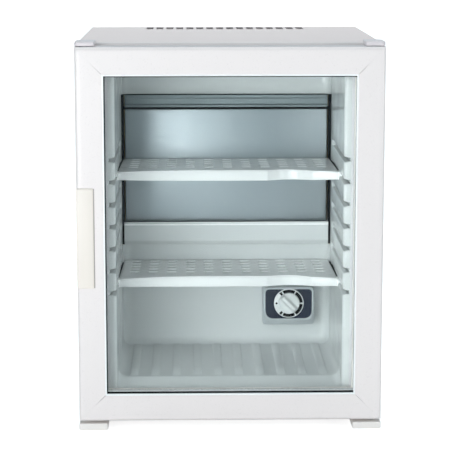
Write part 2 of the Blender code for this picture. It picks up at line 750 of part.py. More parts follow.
def make_foam_and_liner():
    """The foamed body and the white thermoformed liner with its shelf grooves."""
    wall = LINER_WALL + FIT
    foam_side = SIDE - SHEET - FIT
    foam_front = SKIN_FRONT + LINER_WALL + FIT
    foam_back = BACK_SHEET - SHEET - FIT
    foam = box(
        "foam_insulation",
        (-foam_side, foam_front, CABINET_LIFT + SHEET + FIT),
        (foam_side, foam_back, CABINET_TOP - SHEET - FIT),
        "foam",
    )
    sill_end = SKIN_FRONT + SILL_LENGTH
    hollow = [
        (SKIN_FRONT - 0.01, SILL_HEIGHT - wall),
        (SKIN_FRONT, SILL_HEIGHT - wall),
        (sill_end, LINER_FLOOR - wall),
        (LINER_BACK + wall, LINER_FLOOR - wall),
        (LINER_BACK + wall, LINER_CEILING + wall),
        (SKIN_FRONT - 0.01, LINER_CEILING + wall),
    ]
    side = GROOVE_OUT + wall
    recess = boxes(
        "foam_recess",
        [
            (
                (-PLATE_HALF_WIDTH - RECESS_SIDE_MARGIN, LINER_BACK - 0.002, PLATE_BOTTOM - RECESS_MARGIN),
                (PLATE_HALF_WIDTH + RECESS_SIDE_MARGIN, RECESS_BACK, RECESS_TOP + RECESS_MARGIN),
            )
        ],
    )
    seat_low = (-GUTTER_HALF_WIDTH - FIT, LINER_BACK - 0.002, GUTTER_BOTTOM - FIT)
    seat_high = (GUTTER_HALF_WIDTH + FIT, GUTTER_BACK + FIT, PLATE_BOTTOM)
    gutter_seat = boxes("gutter_seat", [(seat_low, seat_high)])
    hollow_body = prism("foam_hollow", hollow, "X", -side, side)
    cut(foam, hollow_body, recess, gutter_seat, *wall_holes("foam_way"))
    cut(bpy.data.objects["back_sheet"], *wall_holes("sheet_way"))

    def plan(margin, front):
        half = LINER_HALF_WIDTH + margin
        back = LINER_BACK + margin
        corners = [(-half, front), (half, front), (half, back), (-half, back)]
        curve = LINER_CORNER + margin
        return rounded(corners, [0, 0, curve, curve])

    def sill(margin):
        """The ramp in front of the floor, down to the door."""
        return [
            (SKIN_FRONT - 0.01, SILL_HEIGHT - margin),
            (SKIN_FRONT, SILL_HEIGHT - margin),
            (sill_end, LINER_FLOOR - margin),
            (sill_end, LINER_FLOOR + 0.02),
            (SKIN_FRONT - 0.01, LINER_FLOOR + 0.02),
        ]

    def grooves(margin, front):
        spans = []
        for i in range(GROOVE_COUNT):
            z = GROOVE_FIRST + i * GROOVE_PITCH
            half = GROOVE_HEIGHT / 2 + margin
            for sign in (-1, 1):
                x_low, x_high = sorted((sign * (LINER_HALF_WIDTH - 0.004), sign * (GROOVE_OUT + margin)))
                low = (x_low, front, z - half)
                spans.append((low, (x_high, GROOVE_BACK + margin, z + half)))
        return spans

    skin = SKIN_FRONT
    t = LINER_WALL
    outer_plan = plan(t, skin)
    liner = prism("inner_liner", outer_plan, "Z", LINER_FLOOR - t, LINER_CEILING + t, "liner_plastic")
    half_flange = LINER_HALF_WIDTH + LINER_FLANGE
    flange = boxes(
        "liner_flange",
        [
            (
                (-half_flange, skin, CABINET_LIFT + 0.003),
                (half_flange, skin + t, CABINET_TOP - 0.003),
            )
        ],
    )
    inner_half = LINER_HALF_WIDTH
    sill_outer = [(max(y, skin + t / 2), z) for y, z in sill(t)]
    sill_body = prism("liner_sill", sill_outer[1:], "X", -inner_half - t, inner_half + t)
    bosses = boxes("groove_bosses", grooves(t, skin + t / 2))
    join(liner, flange, sill_body, bosses)
    cavity = prism("liner_cavity", plan(0, skin - 0.01), "Z", LINER_FLOOR, LINER_CEILING)
    sill_cut = prism("liner_sill_cut", sill(0), "X", -inner_half, inner_half)
    groove_cut = boxes("groove_cuts", grooves(0, skin - 0.01))
    window = boxes(
        "liner_window",
        [
            (
                (-PLATE_HALF_WIDTH - RECESS_SIDE_MARGIN, LINER_BACK - LINER_CORNER - FIT, GUTTER_BOTTOM - FIT),
                (PLATE_HALF_WIDTH + RECESS_SIDE_MARGIN, LINER_BACK + 0.01, RECESS_TOP + RECESS_MARGIN),
            )
        ],
    )
    cut(liner, cavity, sill_cut, groove_cut, window)
    ribs = []
    for i in range(RIB_COUNT):
        x = (i - (RIB_COUNT - 1) / 2) * RIB_PITCH
        low = (x - RIB_WIDTH / 2, skin + RIB_START, LINER_FLOOR - t / 2)
        ribs.append((low, (x + RIB_WIDTH / 2, LINER_BACK - RIB_END, LINER_FLOOR + RIB_HEIGHT)))
    join(liner, boxes("floor_ribs", ribs))


def make_evaporator():
    """The cold plate on the back wall, its cover strip, the drip gutter and the drain."""
    plate = box(
        "evaporator_plate",
        (-PLATE_HALF_WIDTH, PLATE_FRONT, PLATE_BOTTOM),
        (PLATE_HALF_WIDTH, PLATE_BACK, PLATE_TOP),
        "evaporator_aluminium",
    )
    saddles = []
    for z in (EVAPORATOR_HIGH, EVAPORATOR_LOW):
        low = (-SADDLE_HALF_WIDTH, PLATE_BACK - SADDLE_SINK, z - SADDLE_HEIGHT / 2)
        top = min(z + SADDLE_HEIGHT / 2, PLATE_TOP)
        saddles.append((low, (SADDLE_HALF_WIDTH, EVAPORATOR_Y - FIT, top)))
    saddle = boxes("plate_saddles", saddles)
    join(plate, saddle)
    for z, name in ((EVAPORATOR_HIGH, "saddle_seat_high"), (EVAPORATOR_LOW, "saddle_seat_low")):
        reach = SADDLE_HALF_WIDTH + SADDLE_HEIGHT
        path = [(-reach, EVAPORATOR_Y, z), (reach, EVAPORATOR_Y, z)]
        cut(plate, tube(name, path, EVAPORATOR_RADIUS + 2 * FIT, None, 2))
    box(
        "evaporator_cover_strip",
        (-PLATE_HALF_WIDTH, PLATE_FRONT, STRIP_BOTTOM),
        (PLATE_HALF_WIDTH, PLATE_BACK, RECESS_TOP),
        "evaporator_aluminium",
    )
    back = GUTTER_BACK
    path = [
        (back, GUTTER_BOTTOM + GUTTER_HEIGHT),
        (back, GUTTER_BOTTOM + 0.003),
        (back - 0.003, GUTTER_BOTTOM),
        (back - GUTTER_REACH + 0.004, GUTTER_BOTTOM),
        (back - GUTTER_REACH, GUTTER_BOTTOM + 0.006),
        (back - GUTTER_REACH, GUTTER_BOTTOM + GUTTER_HEIGHT - 0.001),
    ]
    outline = sheet_outline(list(reversed(path)), GUTTER_WALL)
    half = GUTTER_HALF_WIDTH
    gutter = prism("drip_gutter", outline, "X", -half, half, "liner_plastic")
    left_end = prism("gutter_left_end", path, "X", -half, -half + GUTTER_WALL)
    right_end = prism("gutter_right_end", path, "X", half - GUTTER_WALL, half)
    join(gutter, left_end, right_end)
    hole = [(DRAIN_X, back - 0.004, DRAIN_HEIGHT), (DRAIN_X, back + 0.004, DRAIN_HEIGHT)]
    cut(gutter, tube("gutter_outlet", hole, DRAIN_RADIUS - DRAIN_WALL))
    drain_y = UNIT_Y - DRAIN_SETBACK
    route = bent(
        [
            (DRAIN_X, GUTTER_BACK + FIT, DRAIN_HEIGHT),
            (DRAIN_X, drain_y, DRAIN_HEIGHT),
            (DRAIN_X, drain_y, VESSEL_TOP + DRAIN_DROP),
        ],
        PIPE_BEND,
    )
    drain = tube("drain_tube", route, DRAIN_RADIUS, "black_plastic")
    bore = [route[0] - Vector((0, 0.01, 0))] + route[1:-1] + [route[-1] - Vector((0, 0, 0.01))]
    cut(drain, tube("drain_bore", bore, DRAIN_RADIUS - DRAIN_WALL))


def shelf_front(x):
    """How far the shelf's front edge lies behind its front corners, across the shelf."""
    half = SHELF_HALF_WIDTH
    bow = SHELF_SWEEP * (1 - (abs(x) / half) ** 3.2)
    away = (x - SHELF_SCOOP_CENTRE) / SHELF_SCOOP_HALF
    scoop = SHELF_SCOOP * math.cos(away * math.pi / 2) if abs(away) < 1 else 0.0
    return bow + scoop


def make_shelf(name, groove):
    """A moulded shelf: slotted plate, wavy fascia and side tongues in the grooves."""
    half = SHELF_HALF_WIDTH
    back = LINER_BACK - SHELF_BACK_GAP
    front = back - SHELF_DEPTH - SHELF_SWEEP
    tongue_bottom = GROOVE_FIRST + groove * GROOVE_PITCH - GROOVE_HEIGHT / 2 + FIT
    tongue_top = tongue_bottom + SHELF_TONGUE
    plate_top = tongue_bottom + SHELF_RISE
    edge = []
    for i in range(25):
        x = -half + 2 * half * i / 24
        edge.append((x, front + shelf_front(x)))
    corners = [(half, front), (half, back), (-half, back), (-half, front)]
    back_corners = rounded(corners, [0, LINER_CORNER, LINER_CORNER, 0])[1:-1]
    outline = edge + back_corners
    shelf = prism(name, outline, "Z", plate_top - SHELF_PLATE, plate_top, "shelf_plastic")
    face = edge + [(x, y + SHELF_FASCIA_WALL) for x, y in reversed(edge)]
    fascia = prism(name + "_fascia", face, "Z", plate_top - SHELF_FASCIA, plate_top + SHELF_BEAD)
    tongue_front = back - SHELF_TONGUE_SETBACK - SHELF_TONGUE_LENGTH
    rails = []
    for sign in (-1, 1):
        x_low, x_high = sorted((sign * (half - SHELF_RAIL), sign * half))
        low = (x_low, front + SHELF_FASCIA_WALL / 2, plate_top - SHELF_PLATE * 1.6)
        rails.append((low, (x_high, back - LINER_CORNER, tongue_top)))
        x_low, x_high = sorted((sign * (half - SHELF_RAIL / 2), sign * (GROOVE_OUT - 2 * FIT)))
        low = (x_low, tongue_front, tongue_bottom)
        rails.append((low, (x_high, tongue_front + SHELF_TONGUE_LENGTH, tongue_top)))
    rails = [boxes(f"{name}_rail_{i}", [span]) for i, span in enumerate(rails)]
    rim_half = half - LINER_CORNER
    rim = boxes(
        name + "_rim",
        [((-rim_half, back - SHELF_RIM, plate_top - SHELF_PLATE * 1.6), (rim_half, back, plate_top + SHELF_RIM))],
    )
    join(shelf, fascia, rim, *rails)
    slots = []
    for column in range(SLOT_COLUMNS):
        x = (column - (SLOT_COLUMNS - 1) / 2) * SLOT_COLUMN_PITCH
        for row in range(SLOT_ROWS):
            y = back - SLOT_FIRST_ROW - row * SLOT_ROW_PITCH
            low = (x - SLOT_LENGTH / 2, y - SLOT_WIDTH / 2, plate_top - 0.01)
            slots.append((low, (x + SLOT_LENGTH / 2, y + SLOT_WIDTH / 2, plate_top + 0.01)))
    slot_cutter = boxes(name + "_slots", slots)
    bevel_uprights(slot_cutter, SLOT_WIDTH * 0.3)
    cut(shelf, slot_cutter)
    slide = bpy.data.objects.new(name + "_slide", None)
    parts.objects.link(slide)
    slide.location = (0, front, plate_top)
    hang([shelf], slide)


def bevel_uprights(thing, width):
    """Cuts the upright corners of boxes, such as the ends of slots."""
    work = bmesh.new()
    work.from_mesh(thing.data)
    upright = []
    for line in work.edges:
        a, b = line.verts
        if abs(a.co.z - b.co.z) > 0.5 * (a.co - b.co).length:
            upright.append(line)
    bmesh.ops.bevel(work, geom=upright, offset=width, segments=1, affect="EDGES")
    work.to_mesh(thing.data)
    work.free()


def hang(things, parent):
    """Parents pieces to an empty that stands on their joint's axis."""
    bpy.context.view_layer.update()
    for thing in things:
        thing.parent = parent
        thing.matrix_parent_inverse = parent.matrix_world.inverted()


def make_thermostat():
    """The thermostat housing on the back wall, its face, shaft and dial."""
    half = THERMOSTAT_WIDTH / 2
    left, right = THERMOSTAT_X - half, THERMOSTAT_X + half
    bottom, top = THERMOSTAT_BOTTOM, THERMOSTAT_BOTTOM + THERMOSTAT_HEIGHT
    back = LINER_BACK - FIT
    corners = [(left, bottom), (right, bottom), (right, top), (left, top)]
    outline = rounded(corners, [0.006, 0.006, 0.005, 0.005], 3)
    housing = prism("thermostat_housing", outline, "Y", THERMOSTAT_FRONT, back, "liner_plastic")
    rim, lip = THERMOSTAT_RIM, THERMOSTAT_LIP
    inner = [
        (left + rim, bottom + lip + 0.006),
        (left + rim + 0.006, bottom + lip),
        (right - rim - 0.006, bottom + lip),
        (right - rim, bottom + lip + 0.006),
        (right - rim, top - rim),
        (left + rim, top - rim),
    ]
    pocket = prism(
        "face_pocket", inner, "Y", THERMOSTAT_FRONT - 0.01, THERMOSTAT_FRONT + THERMOSTAT_POCKET
    )
    slope = [
        (THERMOSTAT_FRONT - 0.001, bottom - 0.001),
        (THERMOSTAT_FRONT + 0.008, bottom - 0.001),
        (THERMOSTAT_FRONT - 0.001, bottom + lip * 0.75),
    ]
    chin = prism("housing_chin", slope, "X", left - 0.01, right + 0.01)
    centre = Vector((DIAL_CENTRE.x, 0, DIAL_CENTRE.z))
    well = rod(
        "shaft_well",
        SHAFT_RADIUS + 2 * FIT,
        -FACE_FRONT - SHAFT_LENGTH,
        -FACE_FRONT + SHAFT_LENGTH,
        centre,
        None,
        "Y",
        16,
    )
    cut(housing, pocket, chin, well)
    centroid_x, centroid_z = THERMOSTAT_X, (bottom + lip + top - rim) / 2
    shrunk = []
    for x, z in inner:
        gap_x = FIT if x < centroid_x else -FIT
        gap_z = FIT if z < centroid_z else -FIT
        shrunk.append((x + gap_x, z + gap_z))
    face = prism("thermostat_face", shrunk, "Y", FACE_FRONT, FACE_FRONT + FACE_THICKNESS, "dark_face")
    cut(face, well)

    step = DIAL_BACK - DIAL_FLANGE
    front = step - KNOB_LENGTH
    profile = [
        (0, -front),
        (KNOB_RADIUS - 0.002, -front),
        (KNOB_RADIUS - 0.0005, -front - 0.001),
        (KNOB_RADIUS, -step),
        (DIAL_RADIUS - 0.0006, -step),
        (DIAL_RADIUS, -step - 0.0008),
        (DIAL_RADIUS, -DIAL_BACK),
        (0, -DIAL_BACK),
    ]
    dial = turned("thermostat_dial", profile, centre, "dial_plastic", "Y", 36)
    grip = boxes(
        "dial_grip",
        [
            (
                (-GRIP_WIDTH / 2, -GRIP_RISE, -KNOB_RADIUS + 0.0008),
                (GRIP_WIDTH / 2, KNOB_LENGTH / 2, KNOB_RADIUS - 0.0008),
            )
        ],
    )
    turn = Matrix.Rotation(-math.radians(GRIP_ANGLE), 4, "Y")
    grip.matrix_world = Matrix.Translation((centre.x, front, centre.z)) @ turn
    soften(grip, 0.0012, 2)
    socket_depth = 0.006
    socket = rod(
        "dial_socket", SHAFT_RADIUS + FIT, -DIAL_BACK - 0.01, -DIAL_BACK + socket_depth, centre, None, "Y", 16
    )
    join(dial, grip)
    cut(dial, socket)
    shaft_front = -DIAL_BACK + socket_depth - FIT
    shaft = rod(
        "thermostat_shaft",
        SHAFT_RADIUS,
        shaft_front - SHAFT_LENGTH,
        shaft_front,
        centre,
        "steel",
        "Y",
        16,
        0.0004,
    )
    axis = bpy.data.objects.new("thermostat_axis", None)
    parts.objects.link(axis)
    axis.location = (centre.x, DIAL_BACK, centre.z)
    hang([dial, shaft], axis)


def make_door():
    """The door: four mitred profiles round a sealed double pane, with gasket and handle."""
    low_left, low_right = (-SIDE, DOOR_BOTTOM), (SIDE, DOOR_BOTTOM)
    top_left, top_right = (-SIDE, DOOR_TOP), (SIDE, DOOR_TOP)
    finish = "white_coated_profile"
    bottom = door_member("door_profile_bottom", low_left, low_right, (0, -1), finish)
    right = door_member("door_profile_right", low_right, top_right, (1, 0), finish)
    top = door_member("door_profile_top", top_right, top_left, (0, 1), finish)
    left = door_member("door_profile_left", top_left, low_left, (-1, 0), finish)

    glass_inset = PROFILE_HEEL + FIT
    pane_half = SIDE - glass_inset
    pane_low, pane_high = DOOR_BOTTOM + glass_inset, DOOR_TOP - glass_inset
    outer = box(
        "outer_pane",
        (-pane_half, PANE_FRONT, pane_low),
        (pane_half, PANE_FRONT + GLASS, pane_high),
        "glass",
    )
    inner = box(
        "inner_pane",
        (-pane_half, INNER_PANE, pane_low),
        (pane_half, INNER_PANE + GLASS, pane_high),
        "glass",
    )
    spacer_end = PROFILE_WIDTH + SPACER_SHOW
    spacer_outline = [
        (spacer_end - SPACER_WIDTH, SPACER_FRONT),
        (spacer_end, SPACER_FRONT),
        (spacer_end, SPACER_FRONT + PANE_GAP),
        (spacer_end - SPACER_WIDTH, SPACER_FRONT + PANE_GAP),
    ]
    spacer = ring("glazing_spacer", spacer_outline, 0, "dark_seal")
    bead_out = glass_inset
    bead_in = PROFILE_WIDTH + BEAD_REACH
    bead_back = DOOR_BACK - FIT
    track = 0.004
    track_mid = GASKET_INSET + GASKET_WIDTH / 2
    bead_outline = rounded(
        [
            (bead_out, BEAD_FRONT),
            (bead_in, BEAD_FRONT),
            (bead_in, bead_back - 0.004),
            (bead_in - 0.004, bead_back),
            (bead_out, bead_back),
        ],
        [0, 0, 0.001, 0.001, 0],
        2,
    )
    bead = ring("door_inner_frame", bead_outline, 0, "white_plastic")
    lip = 0.0035
    gasket_outline = [
        (GASKET_INSET, DOOR_BACK + FIT),
        (track_mid - track / 2, DOOR_BACK + FIT),
        (track_mid + track / 2, DOOR_BACK + FIT),
        (GASKET_INSET + GASKET_WIDTH, DOOR_BACK + FIT),
        (GASKET_INSET + GASKET_WIDTH - lip * 0.5, DOOR_BACK + GASKET_SPACE * 0.45),
        (GASKET_INSET + GASKET_WIDTH, CABINET_FRONT - GASKET_SPACE * 0.3),
        (GASKET_INSET + GASKET_WIDTH - lip * 0.4, CABINET_FRONT - FIT),
        (GASKET_INSET + lip * 0.4, CABINET_FRONT - FIT),
        (GASKET_INSET, CABINET_FRONT - GASKET_SPACE * 0.3),
        (GASKET_INSET + lip * 0.5, DOOR_BACK + GASKET_SPACE * 0.45),
    ]
    gasket = ring("door_gasket", gasket_outline, 0, "gasket")

    z_low, z_high = HANDLE_CENTRE - HANDLE_HEIGHT / 2, HANDLE_CENTRE + HANDLE_HEIGHT / 2
    notch = boxes(
        "handle_notch",
        [
            (
                (-SIDE - 0.01, DOOR_FRONT - 0.01, z_low - FIT),
                (-SIDE + HANDLE_WIDTH + FIT, DOOR_FRONT + HANDLE_DEPTH + FIT, z_high + FIT),
            )
        ],
    )
    cut(left, notch)
    handle = box(
        "door_handle",
        (-SIDE, DOOR_FRONT - HANDLE_PROUD, z_low),
        (-SIDE + HANDLE_WIDTH, DOOR_FRONT + HANDLE_DEPTH, z_high),
        "ivory_plastic",
        0.0015,
        2,
    )
    scoop = box(
        "handle_scoop",
        (-SIDE - 0.02, DOOR_FRONT + HANDLE_WALL - HANDLE_PROUD, z_low + HANDLE_WALL + 0.003),
        (
            -SIDE + HANDLE_WIDTH - HANDLE_WALL,
            DOOR_FRONT + HANDLE_DEPTH - HANDLE_WALL / 2,
            z_high - HANDLE_WALL - 0.003,
        ),
        None,
        0.004,
        2,
    )
    cut(handle, scoop)

    bush_radius = PIN_RADIUS + RUN + BUSH_WALL
    bushes = []
    for name, mouth, sign in (
        ("lower_hinge_bush", DOOR_BOTTOM, 1),
        ("upper_hinge_bush", DOOR_TOP, -1),
    ):
        low, high = sorted((mouth, mouth + sign * BUSH_LENGTH))
        bush = rod(name, bush_radius, low, high, PIVOT, "white_plastic", "Z", 24)
        low, high = sorted((mouth - sign * 0.005, mouth + sign * (BUSH_LENGTH - 0.001)))
        cut(bush, rod(name + "_bore", PIN_RADIUS + RUN, low, high, PIVOT, None, "Z", 24))
        low, high = sorted((mouth - sign * 0.005, mouth + sign * (BUSH_LENGTH + FIT)))
        seat = rod(name + "_seat", bush_radius + FIT, low, high, PIVOT, None, "Z", 24)
        cut(right, seat)
        cut(bottom if sign > 0 else top, seat)
        bushes.append(bush)

    axis = bpy.data.objects.new("door_hinge_axis", None)
    parts.objects.link(axis)
    axis.location = PIVOT
    hang([bottom, right, top, left, outer, inner, spacer, bead, gasket, handle] + bushes, axis)


def make_hinges():
    """The upper bracket and both pins, and the caps over the two upper corners."""
    plate_low = CABINET_TOP + FIT
    plate_high = plate_low + BRACKET
    bracket_outline = rounded(
        [
            (PIVOT.x - BRACKET_WIDTH / 2, PIVOT.y - BRACKET_WIDTH / 2),
            (PIVOT.x + BRACKET_WIDTH / 2, PIVOT.y - BRACKET_WIDTH / 2),
            (PIVOT.x + BRACKET_WIDTH / 2, CABINET_FRONT + BRACKET_BACK),
            (PIVOT.x - BRACKET_WIDTH / 2, CABINET_FRONT + BRACKET_BACK),
        ],
        [BRACKET_WIDTH / 2 - 0.0005, BRACKET_WIDTH / 2 - 0.0005, 0.002, 0.002],
        5,
    )
    bracket = prism("upper_hinge_bracket", bracket_outline, "Z", plate_low, plate_high, "steel")
    hole = rod("bracket_hole", PIN_RADIUS + FIT, DOOR_TOP, CABINET_TOP + CAP_HEIGHT, PIVOT, None, "Z", 24)
    cut(bracket, hole)
    head_low = plate_high + FIT
    profile = [
        (0, head_low + PIN_HEAD),
        (PIN_HEAD_RADIUS - 0.0004, head_low + PIN_HEAD),
        (PIN_HEAD_RADIUS, head_low + PIN_HEAD - 0.0004),
        (PIN_HEAD_RADIUS, head_low),
        (PIN_RADIUS, head_low),
        (PIN_RADIUS, DOOR_TOP - PIN_ENGAGEMENT + 0.0005),
        (PIN_RADIUS - 0.0005, DOOR_TOP - PIN_ENGAGEMENT),
        (0, DOOR_TOP - PIN_ENGAGEMENT),
    ]
    turned("upper_hinge_pin", profile, PIVOT, "steel", "Z", 24)
    for name, sign in (("left_corner_cap", -1), ("right_corner_cap", 1)):
        x_low, x_high = sorted((sign * (SIDE - CAP_WIDTH), sign * (SIDE + 0.0005)))
        y_low, y_high = DOOR_FRONT + CAP_FRONT, DOOR_FRONT + CAP_BACK
        corners = [(x_low, y_low), (x_high, y_low), (x_high, y_high), (x_low, y_high)]
        outline = rounded(corners, [0.004, 0.004, 0.002, 0.002], 3)
        cap = prism(name, outline, "Z", plate_low, plate_low + CAP_HEIGHT, "white_plastic")
        x_low, x_high = x_low + CAP_WALL, x_high - CAP_WALL
        y_low, y_high = y_low + CAP_WALL, y_high - CAP_WALL
        corners = [(x_low, y_low), (x_high, y_low), (x_high, y_high), (x_low, y_high)]
        outline = rounded(corners, [0.004 - CAP_WALL, 0.004 - CAP_WALL, 0.001, 0.001], 3)
        ceiling = plate_low + CAP_HEIGHT - CAP_WALL
        cut(cap, prism(name + "_hollow", outline, "Z", plate_low - 0.01, ceiling))


def make_feet():
    """Front feet that reach under the door and carry its lower pin, and two rear feet."""
    for name, sign in (("left_front_foot", -1), ("right_front_foot", 1)):
        outer = SIDE + FOOT_PROUD
        inner = outer - FOOT_WIDTH
        y_front = DOOR_FRONT + FOOT_FRONT
        y_back = y_front + FOOT_LENGTH
        y_heel = CABINET_FRONT + 0.002
        toe = [
            (inner + 0.002, 0),
            (outer - FOOT_CHAMFER, 0),
            (outer, FOOT_CHAMFER),
            (outer, FOOT_TOE),
            (inner, FOOT_TOE),
            (inner, 0.002),
        ]
        heel_top = CABINET_LIFT - FIT
        heel = toe[:3] + [(outer, heel_top), (inner, heel_top), (inner, 0.002)]
        foot = prism(name, [(sign * x, z) for x, z in toe], "Y", y_front, y_back, "white_plastic")
        riser = prism(name + "_riser", [(sign * x, z) for x, z in heel], "Y", y_heel, y_back)
        x_low, x_high = sorted((sign * (outer - FOOT_FLANGE), sign * outer))
        flange = boxes(
            name + "_flange",
            [
                (
                    (x_low, y_heel + 0.001, heel_top - 0.003),
                    (x_high, y_heel + FOOT_FLANGE_LENGTH, FOOT_FLANGE_TOP),
                )
            ],
        )
        join(foot, riser, flange)
        spot = Vector((sign * PIVOT.x, PIVOT.y, 0))
        well_bottom = FOOT_TOE - 0.003
        cut(foot, rod(name + "_well", PIN_RADIUS + FIT, well_bottom, DOOR_BOTTOM, spot, None, "Z", 16))
    pin_low = FOOT_TOE - 0.003 + FIT
    collar_low = FOOT_TOE + FIT
    collar_high = DOOR_BOTTOM - FIT
    top = DOOR_BOTTOM + PIN_ENGAGEMENT
    profile = [
        (0, top),
        (PIN_RADIUS - 0.0005, top),
        (PIN_RADIUS, top - 0.0005),
        (PIN_RADIUS, collar_high),
        (PIN_HEAD_RADIUS, collar_high),
        (PIN_HEAD_RADIUS, collar_low),
        (PIN_RADIUS, collar_low),
        (PIN_RADIUS, pin_low),
        (0, pin_low),
    ]
    turned("lower_hinge_pin", profile, PIVOT, "steel", "Z", 16)
    height = CABINET_LIFT - FIT
    for name, sign in (("left_rear_foot", -1), ("right_rear_foot", 1)):
        profile = [
            (0, height),
            (REAR_FOOT_RADIUS, height),
            (REAR_FOOT_RADIUS, height * 0.6),
            (REAR_FOOT_RADIUS - 0.002, 0),
            (0, 0),
        ]
        spot = (sign * (SIDE - REAR_FOOT_INSET), BACK_SHEET - REAR_FOOT_INSET, 0)
        turned(name, profile, spot, "white_plastic", "Z", 20)


def oval(way):
    """The point of the coil's oval loop, in plan, that lies a way along it in metres."""
    run = COIL_RIGHT - COIL_LEFT
    bend = math.pi * COIL_BEND
    way = way % (2 * (run + bend))
    if way < run:
        return COIL_RIGHT - way, UNIT_Y - COIL_BEND
    if way < run + bend:
        angle = -math.pi / 2 - (way - run) / COIL_BEND
        return COIL_LEFT + COIL_BEND * math.cos(angle), UNIT_Y + COIL_BEND * math.sin(angle)
    if way < 2 * run + bend:
        return COIL_LEFT + way - run - bend, UNIT_Y + COIL_BEND
    angle = math.pi / 2 - (way - 2 * run - bend) / COIL_BEND
    return COIL_RIGHT + COIL_BEND * math.cos(angle), UNIT_Y + COIL_BEND * math.sin(angle)


def coil_route():
    """The absorber's pipe: down from the evaporator, round the loops and into the vessel."""
    run = COIL_RIGHT - COIL_LEFT
    loop = 2 * (run + math.pi * COIL_BEND)
    first = run + math.pi * COIL_BEND + TAIL_X + PIPE_BEND - COIL_LEFT
    last = COIL_TURNS * loop + COIL_EXIT
    count = round(COIL_STEPS * (last - first) / loop)
    elbow = (TAIL_X + PIPE_BEND, COIL_TOP + PIPE_BEND)
    y = UNIT_Y + COIL_BEND
    route = [(TAIL_X, y, TAIL_TOP)]
    route += [(x, y, z) for x, z in arc(elbow, PIPE_BEND, 180, 255, 4)]
    for i in range(count + 1):
        way = first + (last - first) * i / count
        route.append((*oval(way), COIL_TOP - COIL_FALL * i / count))
    x, y, z = route[-1]
    exit_x = x - COIL_EXIT
    down = [(x, y, z), (exit_x, UNIT_Y, z - 0.003), (exit_x, UNIT_Y, VESSEL_TOP + FIT)]
    return route[:-1] + bent(down, PIPE_BEND)


